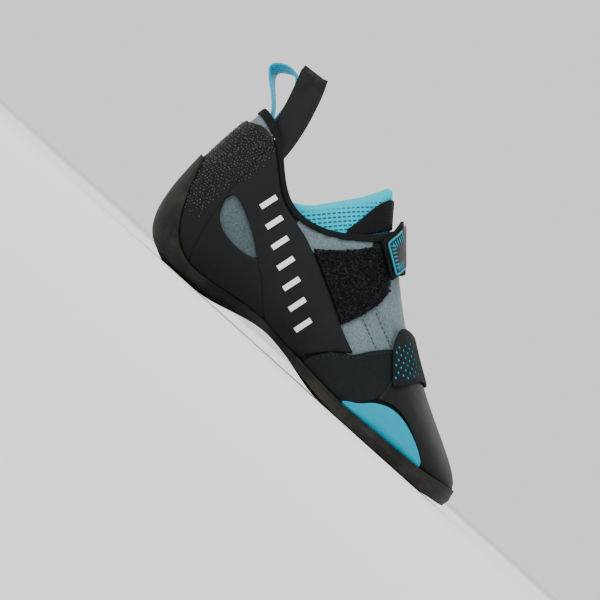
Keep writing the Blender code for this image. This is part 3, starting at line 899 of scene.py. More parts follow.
    def true_scale(self, mesh: bpy.types.Mesh, toward: Vector) -> None:
        """Turns a mesh's UV map along its outer face and sets it to metres.

        Args:
            mesh: The mesh, unwrapped.
            toward: The direction in which the first axis grows.
        """
        chart = np.empty(len(mesh.loops) * 2)
        mesh.uv_layers.active.data.foreach_get("uv", chart)
        chart = chart.reshape(-1, 2)
        outer = [p for p in mesh.polygons if p.material_index == Region.OUTER.value]
        loops = np.array([at for p in outer for at in p.loop_indices])
        places = np.array([tuple(mesh.vertices[mesh.loops[at].vertex_index].co) for at in loops])
        solid_area = sum(p.area for p in outer)
        flat_area = 0.0
        for part in outer:
            ring = chart[list(part.loop_indices)]
            rolled = np.roll(ring, -1, axis=0)
            flat_area += abs(np.sum(ring[:, 0] * rolled[:, 1] - rolled[:, 0] * ring[:, 1])) / 2
        middle = chart[loops].mean(0)
        _, turn = np.linalg.eigh(np.cov((chart[loops] - middle).T))
        long_way = turn[:, 1]
        if np.sum(((chart[loops] - middle) @ long_way) * (places @ np.array(toward))) < 0:
            long_way = -long_way
        wide_way = np.array((-long_way[1], long_way[0]))
        scale = math.sqrt(solid_area / flat_area)
        chart = ((chart - middle) @ np.stack((long_way, wide_way), axis=1)) * scale
        mesh.uv_layers.active.data.foreach_set("uv", chart.ravel())

    def rim(self, piece: bpy.types.Object) -> list[RimPoint]:
        """Walks round the edge of a piece's outer face.

        Args:
            piece: The piece, with its regions marked.

        Returns:
            The points of the edge in order, closed.
        """
        shape = bmesh.new()
        shape.from_mesh(piece.data)
        links = defaultdict(list)
        for edge in shape.edges:
            if sum(f.material_index == Region.OUTER.value for f in edge.link_faces) == 1:
                for one, other in (edge.verts, reversed(edge.verts)):
                    links[one].append(other)
        start = min(links, key=lambda v: v.index)
        walk, before = [start], None
        while True:
            onward = [v for v in links[walk[-1]] if v is not before]
            if not onward or onward[0] is start:
                break
            before = walk[-1]
            walk.append(onward[0])
        points = []
        for at, vert in enumerate(walk):
            along = walk[(at + 1) % len(walk)].co - walk[at - 1].co
            faces = [f for f in vert.link_faces if f.material_index == Region.OUTER.value]
            normal = sum((f.normal for f in faces), Vector()).normalized()
            inside = sum((f.calc_center_median() for f in faces), Vector()) / len(faces) - vert.co
            inward = along.cross(normal).normalized()
            points.append(RimPoint(vert.co.copy(), inward if inward.dot(inside) > 0 else -inward))
        shape.free()
        return points

    def tree(self, *pieces: bpy.types.Object) -> BVHTree:
        """A search tree of the faces of some pieces.

        Args:
            *pieces: The pieces.

        Returns:
            The tree.
        """
        corners, faces = [], []
        for piece in pieces:
            base = len(corners)
            corners += [v.co.copy() for v in piece.data.vertices]
            faces += [tuple(base + at for at in p.vertices) for p in piece.data.polygons]
        return BVHTree.FromPolygons(corners, faces)

    def strew(self, name: str, unit: bmesh.types.BMesh, places: Sequence[Matrix]) -> bpy.types.Object:
        """Joins many copies of a small shape into one piece.

        Args:
            name: The piece's name.
            unit: The small shape, which is let go.
            places: Where each copy goes.

        Returns:
            The piece.
        """
        bmesh.ops.triangulate(unit, faces=unit.faces)
        mould = mesh_of(unit, name + "_mould")
        points = np.empty(len(mould.vertices) * 3)
        mould.vertices.foreach_get("co", points)
        points = np.c_[points.reshape(-1, 3), np.ones(len(mould.vertices))]
        corners = np.array([tuple(p.vertices) for p in mould.polygons])
        spread = np.concatenate([points @ np.array(m).T[:, :3] for m in places])
        faces = np.concatenate([corners + at * len(points) for at in range(len(places))])
        mesh = bpy.data.meshes.new(name)
        mesh.from_pydata(spread.tolist(), [], faces.tolist())
        mesh.shade_smooth()
        bpy.data.meshes.remove(mould)
        return put(name, mesh)


def bead(points: int = 1) -> bmesh.types.BMesh:
    """A unit ball, for stitches, studs and pile.

    Args:
        points: How fine it is.

    Returns:
        The ball.
    """
    ball = bmesh.new()
    bmesh.ops.create_icosphere(ball, subdivisions=points, radius=1.0)
    return ball


def seat(at: Vector, along: Vector, normal: Vector, size: tuple[float, float, float]) -> Matrix:
    """The place of a small shape on a surface.

    Args:
        at: Where its middle is.
        along: The way that its first axis points.
        normal: The surface's outward normal.
        size: Its half sizes in millimetres: along, across and out.

    Returns:
        The matrix.
    """
    up = normal.normalized()
    first = (along - up * along.dot(up)).normalized()
    turn = Matrix((first, up.cross(first), up)).transposed().to_4x4()
    return Matrix.Translation(at) @ turn @ Matrix.Diagonal((*(s * MM for s in size), 1.0))


def spaced(line: Sequence[Vector], step: float) -> list[tuple[Vector, Vector]]:
    """Splits a line into equal steps.

    Args:
        line: Its points.
        step: The step in millimetres.

    Returns:
        The points and the line's direction at each.
    """
    lengths = [0.0]
    for one, other in zip(line, line[1:]):
        lengths.append(lengths[-1] + (other - one).length)
    count = max(1, int(lengths[-1] / (step * MM)))
    found = []
    at = 0
    for turn in range(count):
        goal = (turn + 0.5) * lengths[-1] / count
        while lengths[at + 1] < goal:
            at += 1
        share = (goal - lengths[at]) / (lengths[at + 1] - lengths[at])
        found.append((line[at].lerp(line[at + 1], share), (line[at + 1] - line[at]).normalized()))
    return found


@dataclass(frozen=True)
class Thread:
    """A row of lock stitches."""

    stitch: float = 2.2
    gap: float = 0.9
    thick: float = 0.3
    proud: float = 0.12

    def places(self, line: Sequence[Vector], tree: BVHTree) -> list[Matrix]:
        """Lays the stitches along a line on a surface.

        Args:
            line: The line's points, near the surface.
            tree: The surface.

        Returns:
            Where each stitch goes.
        """
        found = []
        for point, along in spaced(line, self.stitch + self.gap):
            at, normal, _, _ = tree.find_nearest(point)
            lift = at + normal * self.proud * MM
            found.append(seat(lift, along, normal, (self.stitch / 2, self.thick, self.thick)))
        return found

    def row(
        self, tree: BVHTree, side: Side, start: tuple[float, float], end: tuple[float, float]
    ) -> list[Matrix]:
        """Lays a straight row of stitches, as it is seen from one side of the shoe.

        Args:
            tree: The surface.
            side: The side of the shoe.
            start: Where the row starts, along and up, in millimetres.
            end: Where it ends.

        Returns:
            Where each stitch goes.
        """
        line = []
        for share in np.linspace(0, 1, ROW_POINTS):
            x, z = ((one + (other - one) * share) * MM for one, other in zip(start, end))
            hit = tree.ray_cast(Vector((x, side.value * FAR, z)), Vector((0, -side.value, 0)))[0]
            if hit is not None:
                line.append(hit)
        return self.places(line, tree)


@dataclass(frozen=True)
class Padding:
    """Foam inside a piece, which swells it as cloth under pressure wherever it has room."""

    pressure: float = 8.0
    frames: int = 20
    # The most that a point moves, the share it may take of the room around it, and how near it is held.
    most: float = 1.6
    room: float = 0.5
    held: float = 0.8

    def swell(self, piece: bpy.types.Object, around: BVHTree) -> None:
        """Blows the piece up a little and keeps it clear of what is around it.

        Args:
            piece: The piece.
            around: The surfaces near it.
        """
        start = [v.co.copy() for v in piece.data.vertices]
        free = [around.find_nearest(point)[3] for point in start]
        pins = piece.vertex_groups.new(name="held")
        pins.add([at for at, gap in enumerate(free) if gap < self.held * MM], 1.0, "REPLACE")
        cloth = piece.modifiers.new("foam", "CLOTH").settings
        cloth.use_pressure = True
        cloth.uniform_pressure_force = self.pressure
        cloth.vertex_group_mass = pins.name
        cloth.effector_weights.gravity = 0.0
        for frame in range(1, self.frames + 1):
            bpy.context.scene.frame_set(frame)
        swollen = piece.evaluated_get(bpy.context.evaluated_depsgraph_get()).to_mesh()
        moves = [v.co - point for v, point in zip(swollen.vertices, start)]
        piece.modifiers.clear()
        piece.vertex_groups.clear()
        bpy.context.scene.frame_set(1)
        for vert, move, gap in zip(piece.data.vertices, moves, free):
            most = min(self.most * MM, self.room * gap)
            vert.co += move * min(1.0, most / max(move.length, TINY))
        piece.data.update()


@dataclass
class Upper:
    """The suede upper with its lining, and the two rows of stitches across the vamp."""

    rows: tuple[tuple[tuple[float, float], tuple[float, float]], ...] = (
        ((8.0, 52.5), (33.0, 41.5)),
        ((16.5, 58.0), (36.5, 49.0)),
    )
    thread: Thread = Thread(stitch=2.2, gap=0.35, thick=0.31)
    # How near the hide is to what covers it.
    reach: float = 4.0
    near_sole: float = 6.5
    near_binding: float = 6.0
    near_strap: float = 5.0
    # The rings of faces by which covered hide is evened out, and by which the window opens to its tips.
    rings: int = 1
    tip_rings: int = 2
    # The front and top limits of the heel's window, and the stretch of collar above the heel.
    window: tuple[float, float] = (-44.0, 62.0)
    rear_collar: tuple[float, float] = (-90.0, -47.0)
    covers: tuple[str, ...] = (
        "heel_rand",
        "heel_side_rand_outer",
        "heel_side_rand_inner",
        "sling_band_outer",
        "sling_band_inner",
        "forefoot_panel_outer",
        "forefoot_panel_inner",
        "side_panel_outer",
        "side_panel_inner",
        "toe_rand",
        "loop_patch",
        "outsole",
    )

    def build(self, bench: Workbench) -> None:
        """Makes the upper and sews it.

        Args:
            bench: The workbench.
        """
        upper = bench.smooth("upper", "upper_hide", crease=0.6)
        self.mark_covered(bench, upper)
        tree = bench.tree(upper)
        places = [m for side in Side for row in self.rows for m in self.thread.row(tree, side, *row)]
        # Covered hide takes the black suede, which is painted shade where it shows in seams and gaps; the
        # window takes a darker grey, which is painted shade.
        finishes = (GREY_SUEDE, GREY_SUEDE, LINING, BLACK_SUEDE, WINDOW_SHADE_SUEDE)
        bench.dress(upper, "upper_suede", finishes, "upper")
        sewing = bench.strew("vamp_stitches", bead(), places)
        bench.dress(sewing, "upper_suede", (DARK_THREAD,))

    def mark_covered(self, bench: Workbench, upper: bpy.types.Object) -> None:
        """Marks the hide under the rands and panels, in their seams, near the sole and the binding and under
        the strap as black, which is painted shade where it shows in the gaps; under the strap it also stands
        for the black pile running on beneath it. Marks the hide in the heel's window as a darker grey, which
        is painted shade too.

        Args:
            bench: The workbench.
            upper: The upper, with its regions marked.
        """
        tree = bench.tree(*(bench.nodes[node] for node in self.covers))
        mesh = upper.data
        outer = [p for p in mesh.polygons if p.material_index == Region.OUTER.value]
        sole = bench.tree(bench.nodes["outsole"])
        binding = bench.tree(bench.nodes["collar_binding"])
        fastener = [bench.tree(bench.nodes[node]) for node in ("loop_patch", "upper_strap")]
        rear, front = (x * MM for x in self.rear_collar)
        hidden, fastened = set(), set()
        for part in outer:
            found = [
                tree.ray_cast(part.center, part.normal, self.reach * MM)[0],
                sole.find_nearest(part.center, self.near_sole * MM)[0],
            ]
            if rear < part.center.x < front:
                found.append(binding.find_nearest(part.center, self.near_binding * MM)[0])
            if any(hit is not None for hit in found):
                hidden.add(part.index)
            # Hide under both the pile patch and the upper strap is marked covered, so its black is painted
            # shade under the strap.
            if all(near.find_nearest(part.center, self.near_strap * MM)[0] for near in fastener):
                fastened.add(part.index)
        faces_at = defaultdict(list)
        for part in outer:
            for corner in part.vertices:
                faces_at[corner].append(part.index)
        corners = {p.index: tuple(p.vertices) for p in outer}

        def beside(faces: set[int]) -> set[int]:
            """The faces that share a corner with some faces."""
            return {near for at in faces for corner in corners[at] for near in faces_at[corner]}

        grown = set(hidden)
        for _ in range(self.rings):
            grown |= beside(grown)
        shown = set(corners) - grown
        for _ in range(self.rings + 1):
            shown |= beside(shown)
        right, top = (limit * MM for limit in self.window)
        window = {p.index for p in outer if p.center.x < right and p.center.z < top}
        for _ in range(self.tip_rings):
            shown |= (beside(shown) & window) - hidden
        for at in corners:
            part = mesh.polygons[at]
            # Covered hide gets the black suede: painted shade where it shows in the seams and gaps.
            if at in fastened or at not in shown:
                part.material_index = Region.COVERED.value
            # The window's hide takes the darker grey suede, which is painted shade because the window is
            # recessed and faces down.
            elif at in window:
                part.material_index = Region.WINDOW.value


@dataclass
class Sole:
    """The outsole with its heel cup, and the board inside."""

    def build(self, bench: Workbench) -> None:
        """Makes the sole and the insole.

        Args:
            bench: The workbench, which keeps the sole's surface for the pieces that sit on it.
        """
        sole = bench.smooth("outsole", "outsole_rubber", crease=1.0)
        bench.sole = bench.tree(sole)
        bench.dress(sole, "sole_rubber", (SOLE_RUBBER,), "outsole")
        board = bench.smooth("insole", "insole_board_piece", levels=1)
        bench.dress(board, "insole_board", (BOARD,), "insole")


@dataclass
class Rands:
    """The rubber rands and bands, the studs of the heel and the bars on the side bands."""

    stud_step: float = 1.95
    stud_size: tuple[float, float] = (0.45, 1.05)
    stud_high: float = 0.52
    stud_stray: float = 0.28
    stud_range: tuple[float, float] = (24.0, 93.0)
    heel_middle: tuple[float, float] = (-84.0, -4.0)
    heel_radius: float = 28.6
    facing: float = 0.3
    # The studs' lower limit: its height at the back of the heel, where that is, and its slope.
    stud_low: float = 27.0
    stud_back: float = -99.0
    stud_slope: float = 0.55
    # Their front limit above and below a bend, the bend's height, and the slope below it.
    stud_front: float = -83.0
    stud_waist: float = -87.0
    stud_bend: float = 62.0
    stud_taper: float = 0.12
    # How far they thin out, up from the lower limit and back from the front one.
    stud_fade: tuple[float, float] = (8.0, 3.0)
    bar_start: tuple[float, float] = (-68.0, 63.5)
    bar_end: tuple[float, float] = (-8.5, 25.5)
    bars: int = 7
    bar_size: tuple[float, float, float] = (5.2, 1.5, 0.16)
    bar_slant: float = 72.0
    bar_grid: tuple[int, int] = (8, 3)
    bar_lift: float = 0.03

    def build(self, bench: Workbench) -> None:
        """Makes the rands and what is moulded and printed on them.

        Args:
            bench: The workbench.
        """
        beside = [Seam(f"{name}_{s.tail}") for name in ("side_panel", "forefoot_panel") for s in Side]
        toe = bench.smooth("toe_rand", "toe_rand_rubber", meets=beside, sits=True)
        bench.dress(toe, "rand_rubber", (RAND_RUBBER,), "toe_rand")
        around = [Seam(f"{name}_{s.tail}") for name in ("sling_band", "heel_side_rand") for s in Side]
        heel = bench.smooth("heel_rand", "heel_rand_rubber", meets=around, sits=True)
        bands = []
        for side in Side:
            flank, sling, panel = (
                f"{name}_{side.tail}" for name in ("heel_side_rand", "sling_band", "forefoot_panel")
            )
            rear = bench.smooth(flank, flank + "_rubber", meets=(Seam("heel_rand"), Seam(sling)), sits=True)
            bench.dress(rear, "rand_rubber", (RAND_RUBBER,), flank)
            meets = (Seam("heel_rand"), Seam(flank), Seam(panel))
            bands.append(bench.smooth(sling, sling + "_rubber", meets=meets, sits=True))
        studs = bench.strew("heel_studs", bead(), self.stud_places(bench.tree(heel, *bands)))
        bench.dress(studs, "rand_rubber", (STUD_RUBBER,))
        bench.dress(heel, "rand_rubber", (RAND_RUBBER,), "heel_rand")
        for side, band in zip(Side, bands):
            bench.dress(self.print_bars(bench, side, band), "rand_rubber", (INK,))
            bench.dress(band, "rand_rubber", (RAND_RUBBER,), "sling_band_" + side.tail)

    def stud_places(self, tree: BVHTree) -> list[Matrix]:
        """Spreads the studs over the heel, thinning out towards the sole.

        Args:
            tree: The surfaces of the heel.

        Returns:
            Where each stud goes.
        """
        chance = random.Random(SEED)
        found = []
        low, high = self.stud_range
        rise = self.stud_step * math.sqrt(3) / 2
        turn_step = self.stud_step / self.heel_radius
        stray = self.stud_stray
        for row in range(int((high - low) / rise)):
            for number in range(int(math.tau / turn_step)):
                angle = (number + 0.5 * (row % 2) + chance.uniform(-stray, stray)) * turn_step
                way = Vector((math.cos(angle), math.sin(angle), 0))
                height = low + (row + chance.uniform(-stray, stray)) * rise
                start = Vector((*self.heel_middle, height)) * MM + way * FAR
                hit, normal, _, _ = tree.ray_cast(start, -way, FAR)
                if hit is None or normal.dot(way) < self.facing:
                    continue
                if not self.studded(hit.x / MM, hit.z / MM, chance):
                    continue
                wide = chance.uniform(*self.stud_size)
                found.append(seat(hit, Vector((0, 0, 1)), normal, (wide, wide, self.stud_high)))
        return found

    def studded(self, x: float, z: float, chance: random.Random) -> bool:
        """Says if the heel has a stud at a place.

        Args:
            x: The place along the shoe, in millimetres.
            z: Its height.
            chance: What thins the studs out near the limits.

        Returns:
            True for a stud.
        """
        lower = self.stud_low + self.stud_slope * (x - self.stud_back)
        front = self.stud_front
        if z <= self.stud_bend:
            front = self.stud_waist - self.stud_taper * (self.stud_bend - z)
        upward, backward = self.stud_fade
        fade = min((z - lower) / upward, (front - x) / backward)
        return fade > chance.uniform(0.0, 1.0)

    def print_bars(self, bench: Workbench, side: Side, band: bpy.types.Object) -> bpy.types.Object:
        """Prints a row of plain slanted bars on a side band.

        Args:
            bench: The workbench.
            side: The side of the shoe.
            band: The band.

        Returns:
            The bars.
        """
        tree = bench.tree(band)
        ink = bmesh.new()
        long_half, wide_half, thick = (s * MM for s in self.bar_size)
        (x_start, z_start), (x_end, z_end) = self.bar_start, self.bar_end
        row = Vector((x_end - x_start, 0, z_end - z_start)).normalized()
        bar_way = Matrix.Rotation(math.radians(self.bar_slant), 3, "Y") @ row
        cross_way = Vector((-bar_way.z, 0, bar_way.x))
        for number in range(self.bars):
            share = number / (self.bars - 1)
            x, z = x_start + (x_end - x_start) * share, z_start + (z_end - z_start) * share
            middle = Vector((x, 0, z)) * MM
            made = bmesh.ops.create_grid(
                ink, x_segments=self.bar_grid[0], y_segments=self.bar_grid[1], size=1.0
            )
            for vert in made["verts"]:
                flat = middle + bar_way * vert.co.x * long_half + cross_way * vert.co.y * wide_half
                far = Vector((flat.x, side.value * FAR, flat.z))
                hit, normal, _, _ = tree.ray_cast(far, Vector((0, -side.value, 0)))
                vert.co = hit + normal * self.bar_lift * MM if hit is not None else flat
        bmesh.ops.recalc_face_normals(ink, faces=ink.faces)
        if sum(f.normal.y * side.value for f in ink.faces) < 0:
            bmesh.ops.reverse_faces(ink, faces=ink.faces)
        bars = bench.piece_from(ink, f"band_bars_{side.tail}")
        body = bars.modifiers.new("ink", "SOLIDIFY")
        body.thickness = thick
        body.offset = 1.0
        bench.settle(bars)
        return bars


@dataclass
class Panels:
    """The suede panels of the forefoot, with the stitches along their top edges."""

    inset: float = 1.8
    # How steeply the way into a panel points down at its top edge.
    top_edge: float = -0.55
    thread: Thread = Thread(stitch=1.8, gap=0.9, thick=0.24)

    def build(self, bench: Workbench) -> None:
        """Makes the panels and sews them.

        Args:
            bench: The workbench.
        """
        for side in Side:
            black, blue, sling = (
                f"{name}_{side.tail}" for name in ("forefoot_panel", "side_panel", "sling_band")
            )
            meets = (Seam("toe_rand"), Seam(blue), Seam(sling))
            panel = bench.smooth(black, black + "_hide", meets=meets, sits=True)
            tree = bench.tree(panel)
            top = [p for p in bench.rim(panel) if p.inward.z < self.top_edge]
            line = [p.at + p.inward * self.inset * MM for p in top]
            sewing = bench.strew(black + "_stitches", bead(), self.thread.places(line, tree))
            bench.dress(panel, "panel_black", (BLACK_SUEDE,), black)
            bench.dress(sewing, "panel_black", (BLACK_THREAD,))
            meets = (Seam("toe_rand"), Seam(black))
            panel = bench.smooth(blue, blue + "_hide", meets=meets, sits=True)
            bench.dress(panel, "panel_blue", (BLUE_SUEDE,), blue)


@dataclass
class Tongue:
    """The padded mesh tongue and the webbing tab across it."""

    fill: float = 0.5
    padding: Padding = Padding()
    around: tuple[str, ...] = (
        "upper",
        "collar_binding",
        "tongue_tab",
        "upper_strap",
        "upper_strap_tab",
        "lower_strap",
    )

    def build(self, bench: Workbench) -> None:
        """Makes the tongue and its tab.

        Args:
            bench: The workbench.
        """
        tongue = bench.smooth("tongue", "tongue_pad", crease=0.0)
        self.padding.swell(tongue, bench.tree(*(bench.nodes[node] for node in self.around)))
        bench.lay_flat(tongue, (1, 0, 0))
        self.mark_edge(bench, tongue)
        bench.dress(tongue, "tongue_mesh", (TONGUE_MESH,), "tongue")
        tab = bench.smooth("tongue_tab", "tongue_tab_web", crease=0.3)
        bench.lay_flat(tab, (0, 1, 0))
        bench.dress(tab, "strap_web", (STRAP_WEB,), "tongue_tab")

    def mark_edge(self, bench: Workbench, tongue: bpy.types.Object) -> None:
        """Notes how far each point of the tongue is from its edge.

        Args:
            bench: The workbench.
            tongue: The tongue, with its regions marked.
        """
        edge = [p.at for p in bench.rim(tongue)]
        finder = KDTree(len(edge))
        for at, point in enumerate(edge):
            finder.insert(point, at)
        finder.balance()
        gaps = [finder.find(v.co)[2] / MM for v in tongue.data.vertices]
        tongue.data.attributes.new(EDGE_DISTANCE, "FLOAT", "POINT").data.foreach_set("value", gaps)


@dataclass
class Collar:
    """The binding round the collar, with a few pale stitches at the heel on each side."""

    row: tuple[tuple[float, float], tuple[float, float]] = ((-99.5, 95.6), (-88.0, 91.6))
    thread: Thread = Thread(stitch=1.7, gap=0.8, thick=0.28)

    def build(self, bench: Workbench) -> None:
        """Makes the binding and its stitches.

        Args:
            bench: The workbench.
        """
        binding = bench.smooth("collar_binding", "collar_binding_tape", crease=0.3)
        tree = bench.tree(binding)
        places = [m for side in Side for m in self.thread.row(tree, side, *self.row)]
        bench.dress(binding, "binding_tape", (BINDING,), "collar_binding")
        bench.dress(bench.strew("heel_stitches", bead(), places), "binding_tape", (PALE_THREAD,))


@dataclass
class Straps:
    """The two straps, the moulded tab on one and the pile patch under it."""

    # Real loops of pile are about 0.5 mm apart: the tufts are coarser so that they show.
    tuft_step: float = 1.3
    tuft_size: tuple[float, float] = (0.5, 0.95)
    tuft_stray: float = 0.4
    tuft_lean: float = 0.5
    tuft_flat: float = 0.6
    rib_step: float = 2.1
    rib_size: tuple[float, float, float] = (2.2, 0.45, 0.35)
    rib_inset: float = 3.1
    # Ribs are left out where the rim turns more than this over a few of its points.
    rib_turn: float = 0.75
    rib_span: int = 2
    rib_end: float = -15.0
    rim_thick: float = 0.6
    # The holes: their spacing across, the share of it along, and how many rows lie to each side.
    hole_step: float = 4.4
    hole_pitch: float = 0.8
    hole_rows: int = 2
    hole_clear: float = 2.4
    hole_radius: float = 1.05
    hole_sides: int = 12
    punch_long: float = 6.0
    # The bright spot under a hole: its depth, its share of the hole's radius and its half thickness.
    lining_depth: float = 0.4
    lining_wide: float = 1.5
    lining_thick: float = 0.12

    def build(self, bench: Workbench) -> None:
        """Makes the straps and all that is on them.

        Args:
            bench: The workbench.
        """
        self.pile_patch(bench)
        strap = bench.smooth("upper_strap", "upper_strap_web")
        bench.lay_flat(strap, (0, -1, 0))
        bench.dress(strap, "strap_web", (STRAP_WEB,), "upper_strap")
        self.moulded_tab(bench)
        self.perforated_strap(bench)

    def pile_patch(self, bench: Workbench) -> None:
        """Makes the fastener's patch, covered with tufts.

        Args:
            bench: The workbench.
        """
        patch = bench.smooth("loop_patch", "loop_patch_base")
        bench.lay_flat(patch, (0, 0, 1))
        chart = FlatMap(patch)
        chance = random.Random(SEED)
        places = []
        step = self.tuft_step * MM
        stray = self.tuft_stray
        for across in np.arange(chart.low.x, chart.high.x, step):
            for along in np.arange(chart.low.y, chart.high.y, step):
                shift = [chance.uniform(-stray, stray) * step for _ in range(2)]
                spot = chart.at(across + shift[0], along + shift[1])
                if spot is None:
                    continue
                point, normal = spot
                lean = Vector([chance.uniform(-1, 1) for _ in range(3)])
                wide = chance.uniform(*self.tuft_size)
                up = normal + self.tuft_lean * lean.normalized()
                places.append(seat(point, lean, up, (wide * self.tuft_flat, wide, wide)))
        tufts = bench.strew("loop_patch_pile", bead(), places)
        bench.dress(patch, "loop_pile", (PILE,), "loop_patch")
        bench.dress(tufts, "loop_pile", (PILE,))

    def moulded_tab(self, bench: Workbench) -> None:
        """Makes the strap's end tab, with its coloured rim and ribs.

        Args:
            bench: The workbench.
        """
        tab = bench.smooth("upper_strap_tab", "strap_tab_body", crease=0.1)
        rim = [p for p in bench.rim(tab) if p.at.y < self.rib_end * MM]
        steps = [(rim[at].at - rim[at - 1].at).length for at in range(len(rim))]
        first = steps.index(max(steps))
        rim = rim[first:] + rim[:first]
        tree = bench.tree(tab)
        ribs = []
        for point, _ in spaced([p.at for p in rim], self.rib_step):
            near = min(range(len(rim)), key=lambda at: (rim[at].at - point).length)
            before, after = rim[max(near - self.rib_span, 0)], rim[min(near + self.rib_span, len(rim) - 1)]
            if before.inward.dot(after.inward) < self.rib_turn:
                continue
            at, normal, _, _ = tree.find_nearest(point + rim[near].inward * self.rib_inset * MM)
            ribs.append(seat(at, rim[near].inward, normal, self.rib_size))
        bench.dress(tab, "strap_tab_rubber", (TAB_BLACK,), "upper_strap_tab")
        bench.dress(bench.strew("strap_tab_ribs", bead(2), ribs), "strap_tab_rubber", (TAB_BLUE,))
        edge = self.piping("strap_tab_rim", [p.at for p in rim])
        bench.dress(edge, "strap_tab_rubber", (TAB_BLUE,))

    def piping(self, name: str, line: Sequence[Vector]) -> bpy.types.Object:
        """Runs a round edging along a line.

        Args:
            name: The piece's name.
            line: The line's points.

        Returns:
            The edging as a mesh.
        """
        curve = bpy.data.curves.new(name, "CURVE")
        curve.dimensions = "3D"
        curve.bevel_depth = self.rim_thick * MM
        curve.bevel_resolution = 2
        curve.use_fill_caps = True
        spline = curve.splines.new("POLY")
        spline.points.add(len(line) - 1)
        for knot, point in zip(spline.points, line):
            knot.co = (*point, 1.0)
        edging = put(name, curve)
        scene = bpy.context.evaluated_depsgraph_get()
        mesh = bpy.data.meshes.new_from_object(edging.evaluated_get(scene))
        bpy.data.objects.remove(edging)
        mesh.shade_smooth()
        return put(name, mesh)

    def hole_spots(self, chart: FlatMap) -> list[tuple[Vector, Vector]]:
        """Lays out the holes in staggered rows, clear of the strap's edges.

        Args:
            chart: The strap laid flat.

        Returns:
            The middle of each hole and the outward normal there.
        """
        step, clear = self.hole_step * MM, self.hole_clear * MM
        found = []
        columns = np.arange(chart.low.x + step, chart.high.x - step / 2, step * self.hole_pitch)
        for number, along in enumerate(columns):
            for row in range(-self.hole_rows, self.hole_rows + 1):
                place = (row + 0.5 * (number % 2)) * step
                spots = [chart.at(along, place + shift) for shift in (0.0, clear, -clear)]
                if None not in spots:
                    found.append(spots[0])
        return found

    def perforated_strap(self, bench: Workbench) -> None:
        """Makes the lower strap with its rows of holes and the bright layer under them.

        Args:
            bench: The workbench.
        """
        strap = bench.smooth("lower_strap", "lower_strap_hide", crease=0.3)
        bench.lay_flat(strap, (0, -1, 0))
        punch = bmesh.new()
        under = []
        ahead = Vector((1, 0, 0))
        wide = self.hole_radius * self.lining_wide
        for point, normal in self.hole_spots(FlatMap(strap)):
            bmesh.ops.create_cone(
                punch,
                cap_ends=True,
                segments=self.hole_sides,
                radius1=self.hole_radius * MM,
                radius2=self.hole_radius * MM,
                depth=self.punch_long * MM,
                matrix=seat(point, ahead, normal, TRUE_SIZE),
            )
            spot = point - normal * self.lining_depth * MM
            under.append(seat(spot, ahead, normal, (wide, wide, self.lining_thick)))
        tool = bench.piece_from(punch, "strap_punch")
        cut = strap.modifiers.new("holes", "BOOLEAN")
        cut.operation = "DIFFERENCE"
        cut.solver = "EXACT"
        cut.object = tool
        bench.settle(strap)
        bpy.data.objects.remove(tool)
        bench.dress(strap, "strap_web", (BLACK_SUEDE,), "lower_strap")
        bench.dress(bench.strew("lower_strap_lining", bead(), under), "strap_web", (BLUE_SUEDE,))


@dataclass
class PullLoops:
    """The two tape loops at the heel."""

    def build(self, bench: Workbench) -> None:
        """Makes the loops.

        Args:
            bench: The workbench.
        """
        for node, slot, finish in (
            ("pull_loop_side", "loop_tape_black", BLACK_TAPE),
            ("pull_loop_heel", "loop_tape_blue", BLUE_TAPE),
        ):
            loop = bench.smooth(node, node + "_tape")
            bench.lay_flat(loop, (0, 0, 1))
            bench.dress(loop, slot, (finish,), node)


@dataclass(frozen=True)
class Lamp:
    """A round soft box: its place and width in metres, and its power in watts."""

    name: str
    place: tuple[float, float, float]
    wide: float
    power: float


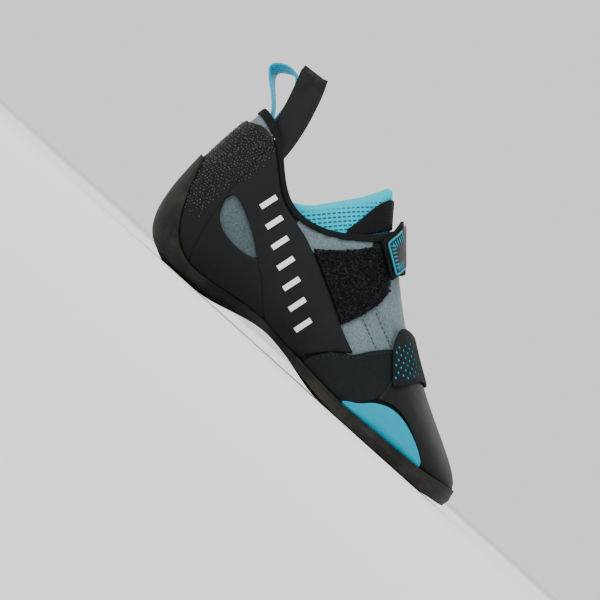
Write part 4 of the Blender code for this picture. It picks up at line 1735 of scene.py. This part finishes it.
@dataclass
class Studio:
    """The pale floor, the soft lights and the camera at floor height."""

    # In metres: the floor's half width, the point that the lamps face, the camera's distance and the
    # nearest that it sees.
    floor_half: float = 8.0
    aim: tuple[float, float, float] = (0.0, 0.0, 0.05)
    distance: float = 1.3
    nearest: float = 0.01
    surround: float = 1.1
    lamps: tuple[Lamp, ...] = (
        Lamp("key", (-0.9, -0.9, 1.3), 0.7, 20.0),
        Lamp("fill", (1.1, -1.2, 0.6), 1.2, 3.0),
        Lamp("back", (0.3, 1.2, 1.2), 1.0, 10.0),
    )
    # The photograph's width in pixels, its pixels to a millimetre, a point of the shoe with its place in
    # the photograph, the photograph's roll in degrees, and the camera's height and sensor.
    frame: int = 600
    scale: float = 1.77
    pivot: tuple[float, float, float] = (2.5, -4.05, 45.0)
    pivot_at: tuple[float, float] = (339.5, 312.9)
    roll: float = 42.0
    height: float = 8.0
    sensor: float = 36.0

    def build(self) -> None:
        """Sets up the floor, the lights and the camera."""
        self.floor()
        self.lights()
        self.camera()

    def floor(self) -> None:
        """Lays the floor."""
        sheet = bmesh.new()
        bmesh.ops.create_grid(sheet, x_segments=1, y_segments=1, size=self.floor_half)
        mesh = mesh_of(sheet, "floor")
        mesh.materials.append(PAPER.material())
        put("floor", mesh)

    def lights(self) -> None:
        """Hangs three soft boxes and an even white surround."""
        world = bpy.data.worlds.new("surround")
        world.use_nodes = True
        world.node_tree.nodes.clear()
        back = add_node(
            world.node_tree, "ShaderNodeBackground", {"Color": linear("#FFFFFF"), "Strength": self.surround}
        )
        add_node(world.node_tree, "ShaderNodeOutputWorld", {"Surface": back.outputs["Background"]})
        bpy.context.scene.world = world
        for lamp in self.lamps:
            light = bpy.data.lights.new(lamp.name, "AREA")
            light.shape = "DISK"
            light.size = lamp.wide
            light.energy = lamp.power
            holder = put(lamp.name, light)
            holder.location = lamp.place
            toward = Vector(self.aim) - Vector(lamp.place)
            holder.rotation_euler = toward.to_track_quat("-Z", "Y").to_euler()

    def camera(self) -> None:
        """Places the camera low in front of the outer side, rolled as the photograph is."""
        pivot = Vector(self.pivot) * MM
        eye_way = Vector((0, -1, 0))
        spin = math.radians(self.roll)
        right = Vector((math.cos(spin), 0, math.sin(spin)))
        up = Vector((-math.sin(spin), 0, math.cos(spin)))
        per_pixel = MM / self.scale
        middle = self.frame / 2
        target = pivot - right * (self.pivot_at[0] - middle) * per_pixel
        target += up * (self.pivot_at[1] - middle) * per_pixel
        place = target + eye_way * self.distance
        place.z = self.height * MM
        look = (target - place).normalized()
        side = (right - look * right.dot(look)).normalized()
        top = side.cross(look)
        lens = bpy.data.cameras.new("camera")
        lens.sensor_width = self.sensor
        lens.lens = self.sensor * (target - place).length / (self.frame * per_pixel)
        lens.clip_start = self.nearest
        holder = put("camera", lens)
        turn = Matrix((side, top, -look)).transposed()
        holder.matrix_world = Matrix.Translation(place) @ turn.to_4x4()
        bpy.context.scene.camera = holder


def report(pieces: Iterable[bpy.types.Object]) -> None:
    """Logs each piece with its number of faces.

    Args:
        pieces: The pieces.
    """
    for piece in pieces:
        LOG.info("%s: %d faces", piece.name, len(piece.data.polygons))


def main() -> None:
    """Builds the dressed shoe and its studio."""
    logging.basicConfig(level=logging.INFO, format="%(message)s")
    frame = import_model()
    bench = Workbench(frame["nodes"], creases=list(CREASES))
    Sole().build(bench)
    Upper().build(bench)
    Rands().build(bench)
    Panels().build(bench)
    Tongue().build(bench)
    Collar().build(bench)
    Straps().build(bench)
    PullLoops().build(bench)
    report(bench.made)
    Studio().build()


if __name__ == "__main__":
    main()
